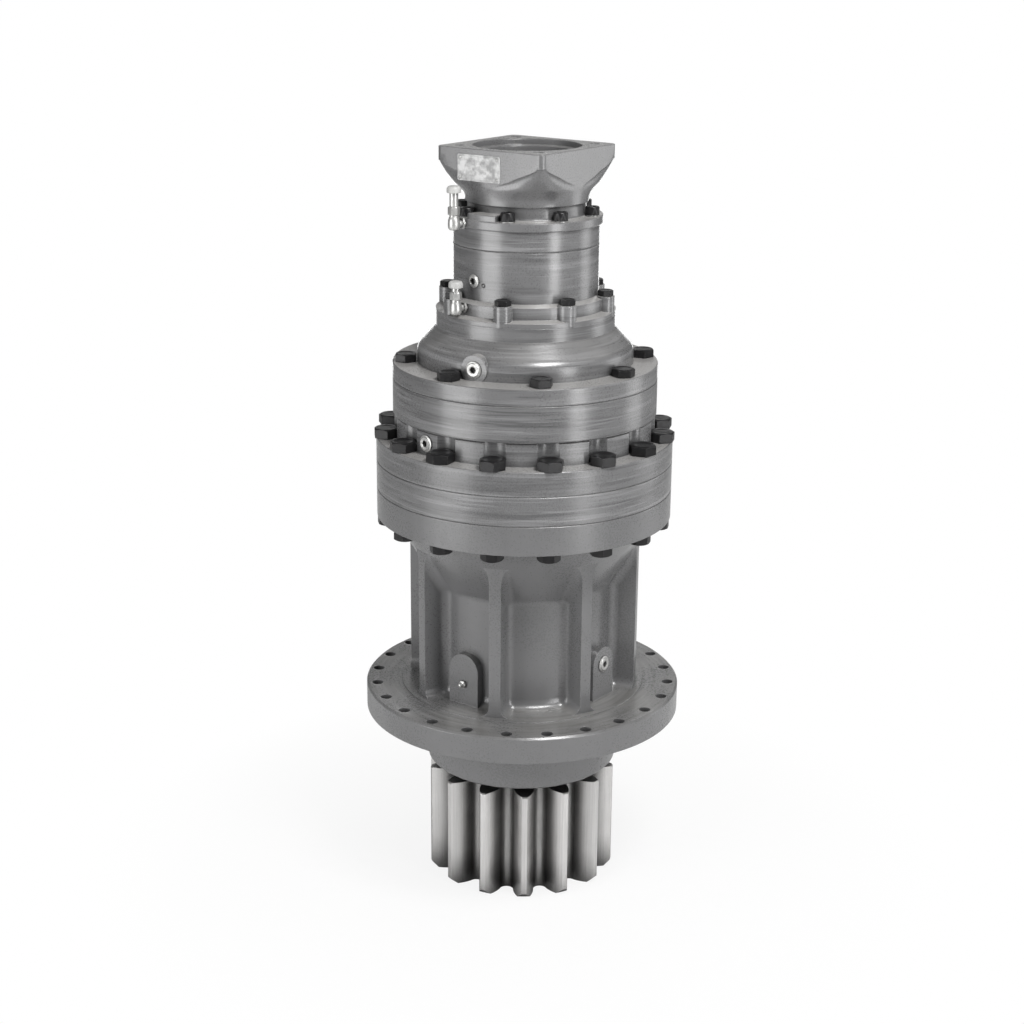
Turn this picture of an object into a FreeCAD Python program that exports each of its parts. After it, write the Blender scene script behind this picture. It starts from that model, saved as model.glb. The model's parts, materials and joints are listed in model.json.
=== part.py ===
import FreeCAD, Part

import math
import os

import Sketcher

Vector = FreeCAD.Vector

# Planetary slewing gearbox, standing on its mounting flange plane with its axis on Z.
# The origin is the centre of the underside of the mounting flange.
# Azimuths are measured about +Z from the +X axis, in degrees.

# Driving dimensions in millimetres, with counts as plain numbers
SIZES = {
    # Mounting flange and pilot
    "flange_radius": 246.0,
    "flange_thickness": 41.0,
    "flange_edge_chamfer": 3.0,
    "flange_hole_inset": 16.0,
    "flange_hole_diameter": 17.5,
    "flange_hole_count": 24,
    "flange_seat_width": 55.3,
    "flange_seat_step": 1.5,
    "pilot_length": 88.0,
    "pilot_wall": 29.0,
    "pilot_chamfer": 3.0,
    # Ribbed output housing
    "housing_height": 360.0,
    "housing_wall": 21.0,
    "housing_rim": 44.0,
    "flare_height": 103.0,
    "flare_inset": 23.0,
    "rib_depth": 40.0,
    "rib_thickness": 18.0,
    "rib_count": 8,
    "pocket_fillet": 15.0,
    "port_boss_radius": 27.0,
    "port_boss_height": 97.0,
    "port_boss_reach": 12.0,
    "grease_port_height": 76.0,
    "grease_port_radius": 5.0,
    "cavity_recess": 2.0,
    "bearing_shoulder_depth": 12.0,
    "bearing_shoulder_width": 16.0,
    # Output bearings and seal
    "bearing_bore_radius": 72.0,
    "bearing_outer_radius": 120.0,
    "bearing_width": 64.0,
    "bearing_span": 212.0,
    "race_thickness": 12.0,
    "race_rib_height": 4.0,
    "race_rib_width": 8.0,
    "roller_count": 20,
    "roller_gap": 0.2,
    "seal_width": 14.0,
    "seal_gap": 4.0,
    "seal_lip_clearance": 0.1,
    "seal_land_radius": 95.0,
    "spacer_wall": 11.0,
    "nut_radius": 95.0,
    "nut_width": 24.0,
    "nut_thread_step": 4.0,
    # Output pinion and shaft
    "pinion_module": 18.0,
    "pinion_teeth": 14,
    "pinion_shift": 0.25,
    "pinion_width": 175.5,
    "pinion_neck_gap": 14.0,
    "pinion_end_chamfer": 9.0,
    "pinion_crown_chamfer": 2.0,
    "spline_module": 5.0,
    "spline_teeth": 24,
    "spline_clearance": 0.3,
    "shaft_end_gap": 10.0,
    "hub_wall": 25.0,
    "hub_gap": 10.0,
    # Third planetary stage, the output stage
    "module_3": 6.0,
    "sun_teeth_3": 18,
    "planet_teeth_3": 20,
    "planet_count_3": 4,
    "face_3": 62.0,
    "ring_rim_3": 44.0,
    "sleeve_wall_3": 8.5,
    "sleeve_length_3": 76.0,
    "stack_rim": 36.0,
    "carrier_plate_3": 26.0,
    "carrier_cover_3": 20.0,
    "pin_radius_3": 24.0,
    "bush_wall_3": 6.0,
    "post_radius_3": 22.0,
    "post_inset_3": 2.0,
    "ring_gap_3": 10.0,
    "side_gap_3": 6.0,
    "sun_shaft_radius_3": 42.0,
    "sun_bore_gap_3": 10.0,
    # Stage adapter
    "adapter_rim": 37.0,
    "adapter_neck": 35.0,
    "adapter_neck_inset": 28.0,
    "scallop_gap": 0.5,
    "adapter_bore_radius": 162.0,
    "register_depth": 5.0,
    "register_radius": 166.0,
    "register_gap": 0.05,
    # Second planetary stage
    "module_2": 5.0,
    "sun_teeth_2": 16,
    "planet_teeth_2": 23,
    "planet_count_2": 3,
    "face_2": 42.0,
    "ring_rim_2": 54.0,
    "mid_stack_radius": 200.0,
    "joint_groove": 1.2,
    "carrier_plate_2": 24.0,
    "carrier_cover_2": 14.0,
    "pin_radius_2": 20.0,
    "bush_wall_2": 6.0,
    "post_radius_2": 20.0,
    "post_inset_2": 4.0,
    "ring_gap_2": 14.0,
    "side_gap_2": 5.0,
    "sun_shaft_radius_2": 28.0,
    "sun_bore_gap_2": 5.0,
    # First planetary stage
    "module_1": 2.5,
    "sun_teeth_1": 16,
    "planet_teeth_1": 23,
    "planet_count_1": 3,
    "face_1": 22.0,
    "ring_width_1": 28.0,
    "ring_wall_1": 12.0,
    "carrier_plate_1": 12.0,
    "carrier_cover_1": 7.0,
    "pin_radius_1": 8.0,
    "bush_wall_1": 3.0,
    "post_radius_1": 9.0,
    "post_inset_1": 2.0,
    "ring_gap_1": 7.0,
    "side_gap_1": 3.0,
    "stage_gap": 6.0,
    # Gear teeth of every stage
    "tooth_thinning_share": 0.03,
    "bush_clearance": 0.05,
    # Dome cover
    "dome_rim": 25.0,
    "dome_height": 73.0,
    "dome_foot_radius": 163.0,
    "dome_shoulder_height": 14.5,
    "dome_shoulder_drop": 9.0,
    "dome_shoulder_rise": 17.5,
    "dome_shoulder_curve": 24.0,
    "dome_top_radius": 134.5,
    "dome_top_band": 20.0,
    "dome_crown": 2.5,
    "dome_bore_step": 9.0,
    "level_boss_radius": 21.0,
    "level_boss_reach": 1.0,
    "level_boss_height": 16.0,
    # Brake housing and cylinder
    "brake_length": 104.8,
    "brake_neck_radius": 108.6,
    "brake_flange_rim": 7.0,
    "brake_boss_radius": 13.5,
    "brake_boss_height": 30.5,
    "brake_web_inset": 15.0,
    "brake_floor": 20.0,
    "brake_bore_radius": 84.0,
    "brake_spigot_radius": 90.0,
    "brake_spigot_depth": 4.0,
    "cylinder_length": 29.8,
    "cylinder_bore_radius": 90.0,
    # Brake inside
    "steel_disc_count": 7,
    "steel_disc_thickness": 3.0,
    "friction_disc_thickness": 3.4,
    "disc_gap": 0.25,
    "disc_edge_gap": 0.5,
    "disc_overlap": 32.0,
    "brake_hub_wall": 18.0,
    "piston_gap": 0.35,
    "piston_wall": 0.05,
    "piston_step": 2.0,
    "piston_bore_radius": 50.0,
    "piston_travel": 2.5,
    "piston_seal_width": 5.0,
    "spring_count": 12,
    "spring_radius": 7.0,
    "spring_wire": 2.5,
    "spring_pocket": 14.0,
    "spring_seat_depth": 3.0,
    # Motor adapter
    "motor_flange_thickness": 12.6,
    "motor_flange_radius": 113.0,
    "motor_neck_radius": 88.0,
    "motor_neck_height": 20.0,
    "bowl_height": 79.0,
    "bowl_radius": 133.0,
    "bowl_foot_radius": 91.8,
    "bowl_curve": 134.0,
    "bowl_band": 9.0,
    "square_side": 189.5,
    "motor_pilot_radius": 80.0,
    "motor_pilot_depth": 9.0,
    "motor_cavity_radius": 70.0,
    "motor_bolt_circle": 200.0,
    "motor_bolt_radius": 7.0,
    "motor_bolt_depth": 28.0,
    "port_pad_height": 9.0,
    "port_pad_angle": 26.0,
    # Input shaft and its bearings
    "input_radius": 22.5,
    "input_bearing_radius": 37.5,
    "input_bearing_width": 16.0,
    "input_ball_radius": 5.0,
    "input_groove_gap": 0.2,
    "input_ball_count": 11,
    "input_shoulder": 3.0,
    "socket_radius": 36.0,
    "socket_length": 58.0,
    "socket_depth": 50.0,
    "socket_module": 2.5,
    "socket_teeth": 18,
    "input_seal_width": 8.0,
    "socket_inset": 10.0,
    # Fasteners: shank radius and head half width of each thread size
    "shank_24": 12.0,
    "head_24": 18.0,
    "shank_20": 10.0,
    "head_20": 15.0,
    "shank_14": 7.0,
    "head_14": 10.5,
    "stack_screw_count": 16,
    "stack_screw_inset": 15.0,
    "mid_screw_count": 8,
    "mid_screw_inset": 20.0,
    "neck_screw_count": 8,
    "neck_thread_depth": 22.0,
    "thread_depth_share": 0.46,
    "hole_gap": 0.5,
    "thread_gap": 0.05,
    "hanging_edge_gap": 1.0,
    # Plugs and fittings
    "plug_radius": 12.5,
    "small_plug_radius": 9.8,
    "plug_head": 4.0,
    "plug_stem_radius": 7.0,
    "plug_stem_length": 10.0,
    "plug_hexagon": 5.0,
    "fitting_stub_radius": 5.0,
    "fitting_radius": 9.0,
    "fitting_reach": 12.0,
    "fitting_port_depth": 8.0,
    "cap_radius": 10.5,
    "cap_height": 10.0,
    "release_height": 6.3,
    "release_rise": 54.0,
    "breather_height": 20.5,
    "breather_rise": 40.0,
    "brake_plug_height": 59.0,
}

# Azimuths of what the turned pieces carry
RIB_START = 22.5
STACK_SCREW_START = 23.25
MID_SCREW_START = 43.0
NECK_SCREW_START = 20.0
PINION_TOOTH = -52.0
LEVEL_PLUG_AZIMUTH = -81.0
BRAKE_PLUG_AZIMUTH = -98.0
STAGE_PLUG_AZIMUTH = -100.5
GREASE_PORT_AZIMUTH = -90.0
HOUSING_PLUG_AZIMUTH = 0.0
RELEASE_AZIMUTH = -108.0
BREATHER_AZIMUTH = -102.5
PORT_PAD_AZIMUTH = -91.0
PLANET_START = 45.0

PRESSURE_ANGLE = math.radians(20.0)
ROOT_CLEARANCE = 0.25

document = FreeCAD.newDocument("SlewingGearbox")
sheet = document.addObject("Spreadsheet::Sheet", "Sizes")
nodes = {}


def text_of(other):
    return other.text if isinstance(other, Size) else repr(other)


def value_of(other):
    return other.value if isinstance(other, Size) else other


class Size:
    """A length or count: its number now, and the sheet expression that gives it."""

    def __init__(self, value, text):
        self.value = value
        self.text = text

    def __add__(self, other):
        return Size(self.value + value_of(other), f"({self.text} + {text_of(other)})")

    def __radd__(self, other):
        return Size(value_of(other) + self.value, f"({text_of(other)} + {self.text})")

    def __sub__(self, other):
        return Size(self.value - value_of(other), f"({self.text} - {text_of(other)})")

    def __rsub__(self, other):
        return Size(value_of(other) - self.value, f"({text_of(other)} - {self.text})")

    def __mul__(self, other):
        return Size(self.value * value_of(other), f"({self.text} * {text_of(other)})")

    def __rmul__(self, other):
        return Size(value_of(other) * self.value, f"({text_of(other)} * {self.text})")

    def __truediv__(self, other):
        return Size(self.value / value_of(other), f"({self.text} / {text_of(other)})")

    def __neg__(self):
        return Size(-self.value, f"(0 - {self.text})")

    def root(self):
        return Size(math.sqrt(self.value), f"sqrt({self.text})")


class Sizes:
    """The driving dimensions by name."""


s = Sizes()
for row, (name, number) in enumerate(SIZES.items(), start=1):
    sheet.set(f"A{row}", name)
    sheet.set(f"B{row}", str(number))
    sheet.setAlias(f"B{row}", name)
    setattr(s, name, Size(number, f"Sizes.{name}"))
document.recompute()


def bind(thing, path, size):
    """Tie one property of a document object to the sheet."""
    if isinstance(size, Size):
        thing.setExpression(path, size.text)


def polar(radius, azimuth):
    """The X and Y of a point at a radius and an azimuth in degrees."""
    turn = math.radians(azimuth)
    return (
        Size(radius.value * math.cos(turn), f"({radius.text} * cos({azimuth} deg))"),
        Size(radius.value * math.sin(turn), f"({radius.text} * sin({azimuth} deg))"),
    )


def origin_feature(body, role):
    return next(item for item in body.Origin.OriginFeatures if item.Role == role)


def new_sketch(body, name, role, lift=None, turn=0.0):
    """A sketch on one of the body's origin planes, lifted along it or turned about Z."""
    sketch = body.newObject("Sketcher::SketchObject", name)
    sketch.AttachmentSupport = [(origin_feature(body, role), "")]
    sketch.MapMode = "FlatFace"
    if role == "XZ_Plane":
        sketch.AttachmentOffset = FreeCAD.Placement(
            Vector(0, 0, 0), FreeCAD.Rotation(Vector(0, 1, 0), turn)
        )
    if lift is not None:
        sketch.AttachmentOffset = FreeCAD.Placement(
            Vector(0, 0, value_of(lift)), FreeCAD.Rotation()
        )
        bind(sketch, "AttachmentOffset.Base.z", lift)
    return sketch


def hold_point(sketch, geometry, end, across, along):
    """Fix a sketch point at two sizes from the sketch's origin."""
    for kind, size, axis in (("DistanceX", across, -2), ("DistanceY", along, -1)):
        if value_of(size) == 0 or abs(value_of(size)) < 1e-6:
            sketch.addConstraint(Sketcher.Constraint("PointOnObject", geometry, end, axis))
            continue
        rule = Sketcher.Constraint(kind, -1, 1, geometry, end, value_of(size))
        index = sketch.addConstraint(rule)
        bind(sketch, f"Constraints[{index}]", size)


def arc_between(start, end, radius):
    """An arc between two corners, bulging outwards where its radius is positive."""
    chord = end - start
    middle = (start + end) * 0.5
    depth = math.sqrt(radius * radius - (chord.Length / 2) ** 2)
    side = Vector(-chord.y, chord.x, 0).normalize()
    centre = middle + side * (depth if radius > 0 else -depth)
    first, last = (start, end) if radius > 0 else (end, start)
    turns = [math.atan2(point.y - centre.y, point.x - centre.x) for point in (first, last)]
    if turns[1] < turns[0]:
        turns[1] += 2 * math.pi
    return Part.ArcOfCircle(Part.Circle(centre, Vector(0, 0, 1), abs(radius)), *turns)


def outline(sketch, points):
    """A closed outline of (across, along) corners, each held by its own sizes.

    A third size on a corner is the radius of the arc that leads to the next one.
    """
    corners = [Vector(value_of(point[0]), value_of(point[1]), 0) for point in points]
    count = len(corners)
    ends = []
    for index, point in enumerate(points):
        start, end = corners[index], corners[(index + 1) % count]
        radius = value_of(point[2]) if len(point) > 2 else 0
        if radius:
            sketch.addGeometry(arc_between(start, end, radius), False)
        else:
            sketch.addGeometry(Part.LineSegment(start, end), False)
        ends.append((2, 1) if radius < 0 else (1, 2))
    for index in range(count):
        following = (index + 1) % count
        join = Sketcher.Constraint("Coincident", index, ends[index][1], following, ends[following][0])
        sketch.addConstraint(join)
    for index, point in enumerate(points):
        hold_point(sketch, index, ends[index][0], point[0], point[1])
        if len(point) > 2:
            size = point[2] if value_of(point[2]) > 0 else -point[2]
            rule = sketch.addConstraint(Sketcher.Constraint("Radius", index, value_of(size)))
            bind(sketch, f"Constraints[{rule}]", size)


def ring_sketch(sketch, centre_x, centre_y, radius):
    """One circle held by its centre and radius."""
    centre = Vector(value_of(centre_x), value_of(centre_y), 0)
    index = sketch.GeometryCount
    sketch.addGeometry(Part.Circle(centre, Vector(0, 0, 1), value_of(radius)), False)
    hold_point(sketch, index, 3, centre_x, centre_y)
    rule = sketch.addConstraint(Sketcher.Constraint("Radius", index, value_of(radius)))
    bind(sketch, f"Constraints[{rule}]", radius)


class Piece:
    """A body made by turning, drilling and adding posts around the Z axis."""

    def __init__(self, name):
        self.name = name
        self.body = document.addObject("PartDesign::Body", name)
        self.body.AllowCompound = True
        self.count = 0

    def next_name(self, work):
        self.count += 1
        return f"{self.name}_{work}_{self.count}"

    def turn(self, points, middle=0.0, sweep=360.0):
        """Turn a closed outline of (radius, height) corners about the Z axis."""
        sketch = new_sketch(self.body, self.next_name("profile"), "XZ_Plane", turn=middle)
        outline(sketch, points)
        feature = self.body.newObject("PartDesign::Revolution", self.next_name("turned"))
        feature.Profile = (sketch, [""])
        feature.ReferenceAxis = (sketch, ["V_Axis"])
        feature.Angle = value_of(sweep)
        feature.Midplane = value_of(sweep) < 360
        bind(feature, "Angle", sweep)
        return self.done(feature)

    def around(self, feature, count):
        """Repeat a feature evenly about the Z axis."""
        pattern = self.body.newObject("PartDesign::PolarPattern", self.next_name("circle"))
        pattern.Originals = [feature]
        pattern.Axis = (origin_feature(self.body, "Z_Axis"), [""])
        pattern.Angle = 360
        pattern.Occurrences = int(value_of(count))
        bind(pattern, "Occurrences", count)
        return self.done(pattern)

    def holes(self, radius, circle, low, high, count, start=0.0):
        """Drill round holes on a circle, from one height up to another."""
        before = self.body.Shape.Volume
        sketch = new_sketch(self.body, self.next_name("drilling"), "XY_Plane", high)
        ring_sketch(sketch, *polar(circle, start), radius)
        feature = self.body.newObject("PartDesign::Pocket", self.next_name("hole"))
        feature.Profile = sketch
        feature.Length = value_of(high - low)
        bind(feature, "Length", high - low)
        self.done(feature)
        self.around(feature, count)
        if self.body.Shape.Volume >= before:
            raise ValueError(f"{self.name}: a hole cut nothing")

    def posts(self, radius, circle, low, high, count, start=0.0):
        """Raise round posts on a circle, from one height up to another."""
        sketch = new_sketch(self.body, self.next_name("post_plan"), "XY_Plane", low)
        ring_sketch(sketch, *polar(circle, start), radius)
        self.raised(sketch, low, high, count)

    def raised(self, sketch, low, high, count):
        """Raise a drawn outline from one height to another, and repeat it about the Z axis."""
        feature = self.body.newObject("PartDesign::Pad", self.next_name("post"))
        feature.Profile = sketch
        feature.Length = value_of(high - low)
        bind(feature, "Length", high - low)
        self.done(feature)
        self.around(feature, count)

    def bolts(self, shank, flat, circle, seat, tip, count, start, upward=False):
        """Hexagon bolts on a circle, heads on the seat height and tips at the other."""
        height = hexagon_height(shank)
        low, high = (seat - height, seat) if upward else (seat, seat + height)
        ends = (seat, tip) if upward else (tip, seat)
        self.posts(shank, circle, *ends, count, start)
        sketch = new_sketch(self.body, self.next_name("head_plan"), "XY_Plane", low)
        middle_x, middle_y = polar(circle, start)
        corners = []
        for corner in range(6):
            x, y = polar(corner_of(flat), start + 30.0 + 60.0 * corner)
            corners.append((middle_x + x, middle_y + y))
        outline(sketch, corners)
        self.raised(sketch, low, high, count)

    def screws(self, shank, head, circle, seat, tip, count, start):
        """Socket screws on a circle, heads on the seat height and tips at the other."""
        top = seat + shank * 2
        x = circle
        sketch = new_sketch(self.body, self.next_name("profile"), "XZ_Plane", turn=start)
        corners = [(x, tip), (x + shank, tip), (x + shank, seat), (x + head, seat), (x + head, top)]
        recess = hexagon_of(shank)
        floor = top - recess
        corners += [(x + recess, top), (x + recess, floor), (x, floor)]
        outline(sketch, corners)
        sketch.addGeometry(Part.LineSegment(Vector(x.value, tip.value, 0), Vector(x.value, top.value, 0)), True)
        axis = len(corners)
        hold_point(sketch, axis, 1, x, tip)
        hold_point(sketch, axis, 2, x, top)
        feature = self.body.newObject("PartDesign::Revolution", self.next_name("screw"))
        feature.Profile = (sketch, [""])
        feature.ReferenceAxis = (sketch, ["Axis0"])
        feature.Angle = 360
        self.done(feature)
        self.around(feature, count)

    def done(self, feature):
        self.body.Tip = feature
        document.recompute()
        if "Invalid" in feature.State or "Error" in feature.State:
            raise ValueError(f"{feature.Name} failed")
        return feature

    def keep(self):
        """Hand the body over as a node of its own."""
        return keep(self.body, self.name)


def hexagon_height(shank):
    """The head of a hexagon bolt is five eighths of its thread's width high."""
    return shank * 1.25


def corner_of(flat):
    """The corner radius of a hexagon, from half its width across flats."""
    return flat * (2 / math.sqrt(3))


def hexagon_of(shank):
    """The recess of a socket screw, as a radius, and also its depth."""
    return shank * 0.8


def keep(item, name):
    """Name a finished piece as a node."""
    item.Label = name
    nodes[name] = item
    return item


def tube(name, outer, inner, low, high):
    """A plain ring between two radii and two heights."""
    piece = Piece(name)
    piece.turn([(inner, low), (outer, low), (outer, high), (inner, high)])
    return piece


def boolean(kind, name, base, tool):
    item = document.addObject(kind, name)
    item.Base = base
    item.Tool = tool
    document.recompute()
    return item


def cylinder(name, radius, length, azimuth, start, height):
    """A round bar pointing outwards along an azimuth, from a start radius."""
    bar = document.addObject("Part::Cylinder", name)
    bar.Radius = value_of(radius)
    bar.Height = value_of(length)
    bind(bar, "Radius", radius)
    bind(bar, "Height", length)
    x, y = polar(start, azimuth)
    turn = math.radians(azimuth)
    outward = Vector(math.cos(turn), math.sin(turn), 0)
    bar.Placement = FreeCAD.Placement(
        Vector(x.value, y.value, value_of(height)), FreeCAD.Rotation(Vector(0, 0, 1), outward)
    )
    bind(bar, "Placement.Base.x", x)
    bind(bar, "Placement.Base.y", y)
    bind(bar, "Placement.Base.z", height)
    return bar


def upright(name, radius, length, azimuth, circle, low):
    """A round bar standing along Z at an azimuth and a radius."""
    bar = document.addObject("Part::Cylinder", name)
    bar.Radius = value_of(radius)
    bar.Height = value_of(length)
    bind(bar, "Radius", radius)
    bind(bar, "Height", length)
    x, y = polar(circle, azimuth)
    bar.Placement.Base = Vector(x.value, y.value, value_of(low))
    bind(bar, "Placement.Base.x", x)
    bind(bar, "Placement.Base.y", y)
    bind(bar, "Placement.Base.z", low)
    return bar


# Gear teeth
def involute(angle):
    return math.tan(angle) - angle


def half_angle(module, teeth, shift, thinning, radius):
    """Half the angle that a tooth fills at a radius."""
    pitch = module * teeth / 2
    base = pitch * math.cos(PRESSURE_ANGLE)
    width = module * (math.pi / 2 + 2 * shift * math.tan(PRESSURE_ANGLE)) - 2 * thinning
    slope = math.acos(base / max(radius, base))
    return width / (2 * pitch) + involute(PRESSURE_ANGLE) - involute(slope)


def spot(radius, angle):
    return Vector(radius * math.cos(angle), radius * math.sin(angle), 0)


def gear_face(module, teeth, tip, root, thinning, phase, shift=0.0):
    """The flat face of a gear: each flank is one arc through three points of its involute."""
    base = module * teeth / 2 * math.cos(PRESSURE_ANGLE)
    foot = max(root, base)
    radii = (foot, (foot + tip) / 2, tip)
    halves = [half_angle(module, teeth, shift, thinning, radius) for radius in radii]
    edges = []
    for tooth in range(teeth):
        middle = phase + 2 * math.pi * tooth / teeth
        rise = [spot(radius, middle - half) for radius, half in zip(radii, halves)]
        fall = [spot(radius, middle + half) for radius, half in zip(radii, halves)]
        following = spot(foot, middle + 2 * math.pi / teeth - halves[0])
        valley = spot(root, middle + math.pi / teeth)
        edges.append(Part.Arc(*rise).toShape())
        edges.append(Part.Arc(rise[2], spot(tip, middle), fall[2]).toShape())
        edges.append(Part.Arc(fall[2], fall[1], fall[0]).toShape())
        edges.append(Part.Arc(fall[0], valley, following).toShape())
    return Part.Face(Part.Wire(edges))


def toothed_bar(name, face, low, high, centre=(0.0, 0.0)):
    """A gear face drawn out along Z between two heights."""
    item = document.addObject("Part::Feature", name)
    item.Shape = face.extrude(Vector(0, 0, high - low))
    item.Placement.Base = Vector(centre[0], centre[1], low)
    return item


def read(name):
    """A driving dimension as the sheet holds it."""
    return float(sheet.get(name))


class Stage:
    """One planetary stage: its tooth numbers, radii and where its gears stand."""

    def __init__(self, level, middle, sun_turn):
        self.level = level
        self.module = read(f"module_{level}")
        self.sun_teeth = int(read(f"sun_teeth_{level}"))
        self.planet_teeth = int(read(f"planet_teeth_{level}"))
        self.ring_teeth = self.sun_teeth + 2 * self.planet_teeth
        self.count = int(read(f"planet_count_{level}"))
        self.centre = self.module * (self.sun_teeth + self.planet_teeth) / 2
        self.face = read(f"face_{level}")
        self.middle = middle
        self.thinning = read("tooth_thinning_share") * self.module
        self.sun_turn = sun_turn
        self.low = middle - self.face / 2
        self.high = middle + self.face / 2

    def azimuth(self, index):
        return math.radians(PLANET_START) + 2 * math.pi * index / self.count

    def sun(self, name, low, high):
        pitch = self.module * self.sun_teeth / 2
        tip = pitch + self.module
        root = pitch - self.module * (1 + ROOT_CLEARANCE)
        face = gear_face(self.module, self.sun_teeth, tip, root, self.thinning, self.sun_turn)
        return toothed_bar(name, face, low, high)

    def planet(self, index, bore):
        """One planet gear, its teeth turned to fit the sun's."""
        azimuth = self.azimuth(index)
        pitch = self.module * self.planet_teeth / 2
        tip = pitch + self.module
        root = pitch - self.module * (1 + ROOT_CLEARANCE)
        travel = (azimuth - self.sun_turn) * self.sun_teeth / self.planet_teeth
        phase = azimuth + math.pi + travel - math.pi / self.planet_teeth
        face = gear_face(self.module, self.planet_teeth, tip, root, self.thinning, phase)
        centre = (self.centre * math.cos(azimuth), self.centre * math.sin(azimuth))
        name = f"planet_gear_{self.level}_{index + 1}"
        blank = toothed_bar(f"{name}_blank", face, self.low, self.high, centre)
        hole = document.addObject("Part::Cylinder", f"{name}_bore")
        hole.Radius = bore.value
        hole.Height = self.face
        hole.Placement.Base = Vector(centre[0], centre[1], self.low)
        bind(hole, "Radius", bore)
        return keep(boolean("Part::Cut", name, blank, hole), name)

    def broach(self, name, low, high):
        """The shape that cuts the ring gear's teeth, turned to fit the first planet."""
        pitch = self.module * self.ring_teeth / 2
        tip = pitch + self.module * (1 + ROOT_CLEARANCE)
        root = pitch - self.module
        azimuth = self.azimuth(0)
        travel = (azimuth - self.sun_turn) * self.sun_teeth / self.ring_teeth
        # The ring's tooth is centred here, so its spaces are half a pitch further on
        tooth = azimuth + travel + math.pi * self.planet_teeth / self.ring_teeth
        space = tooth + math.pi / self.ring_teeth
        face = gear_face(self.module, self.ring_teeth, tip, root, -self.thinning, space)
        return toothed_bar(name, face, low, high)


# Radii and levels that several pieces share
wall_radius = s.bearing_outer_radius + s.housing_wall
pilot_radius = s.bearing_outer_radius + s.pilot_wall
rib_radius = wall_radius + s.rib_depth
ring_teeth_3 = s.sun_teeth_3 + s.planet_teeth_3 * 2
ring_teeth_2 = s.sun_teeth_2 + s.planet_teeth_2 * 2
ring_teeth_1 = s.sun_teeth_1 + s.planet_teeth_1 * 2
ring_root_3 = s.module_3 * (ring_teeth_3 / 2 + (1 + ROOT_CLEARANCE))
ring_tip_3 = s.module_3 * (ring_teeth_3 / 2 - 1)
ring_tip_2 = s.module_2 * (ring_teeth_2 / 2 - 1)
ring_tip_1 = s.module_1 * (ring_teeth_1 / 2 - 1)
ring_outer_1 = s.module_1 * (ring_teeth_1 / 2 + (1 + ROOT_CLEARANCE)) + s.ring_wall_1
sleeve_radius = ring_root_3 + s.sleeve_wall_3
stack_radius = sleeve_radius + s.stack_rim
upper_circle = stack_radius - s.stack_screw_inset
lower_circle = stack_radius - s.head_20 - s.hanging_edge_gap
mid_circle = s.mid_stack_radius - s.mid_screw_inset
neck_radius = stack_radius - s.adapter_neck_inset
flare_radius = stack_radius - s.flare_inset
brake_circle = s.dome_top_radius - s.brake_boss_radius + s.hanging_edge_gap
motor_circle = s.motor_flange_radius - s.head_14 - s.input_shoulder

rim_low = s.housing_height - s.housing_rim
flare_low = rim_low - s.flare_height
flare_slope = s.flare_height / (flare_radius - wall_radius)
rib_top = flare_low + s.rib_depth * flare_slope
foot_level = s.flange_thickness + s.flange_seat_step
rim_3_high = s.housing_height + s.ring_rim_3
middle_3 = s.housing_height + s.ring_rim_3 / 2
sleeve_low = middle_3 - s.sleeve_length_3 / 2
sleeve_high = middle_3 + s.sleeve_length_3 / 2
adapter_shoulder = rim_3_high + s.adapter_rim
adapter_top = adapter_shoulder + s.adapter_neck
rim_2_high = adapter_top + s.ring_rim_2
middle_2 = adapter_top + s.ring_rim_2 / 2
dome_rim_top = rim_2_high + s.dome_rim
dome_top = dome_rim_top + s.dome_height
brake_top = dome_top + s.brake_length
cylinder_top = brake_top + s.cylinder_length
motor_flange_top = cylinder_top + s.motor_flange_thickness
bowl_low = motor_flange_top + s.motor_neck_height
motor_top = bowl_low + s.bowl_height

carrier_3_top = middle_3 - s.face_3 / 2 - s.side_gap_3
carrier_3_low = carrier_3_top - s.carrier_plate_3
cover_3_low = middle_3 + s.face_3 / 2 + s.side_gap_3
cover_3_high = cover_3_low + s.carrier_cover_3
carrier_2_top = middle_2 - s.face_2 / 2 - s.side_gap_2
carrier_2_low = carrier_2_top - s.carrier_plate_2
cover_2_low = middle_2 + s.face_2 / 2 + s.side_gap_2
cover_2_high = cover_2_low + s.carrier_cover_2
carrier_1_low = cover_2_high + s.stage_gap
carrier_1_top = carrier_1_low + s.carrier_plate_1
middle_1 = carrier_1_top + s.side_gap_1 + s.face_1 / 2
cover_1_low = middle_1 + s.face_1 / 2 + s.side_gap_1
cover_1_high = cover_1_low + s.carrier_cover_1

seal_low = -s.pilot_length
lower_bearing_low = seal_low + s.seal_width + s.seal_gap
lower_bearing_high = lower_bearing_low + s.bearing_width
upper_bearing_low = lower_bearing_low + s.bearing_span
upper_bearing_high = upper_bearing_low + s.bearing_width
pinion_high = seal_low - s.pinion_neck_gap
pinion_low = pinion_high - s.pinion_width
nut_high = upper_bearing_high + s.nut_width
hub_low = nut_high + s.hub_gap
shaft_end = carrier_3_top - s.shaft_end_gap

stage_3 = Stage(3, middle_3.value, 0.0)
stage_2 = Stage(2, middle_2.value, 0.0)
stage_1 = Stage(1, middle_1.value, 0.0)


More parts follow.
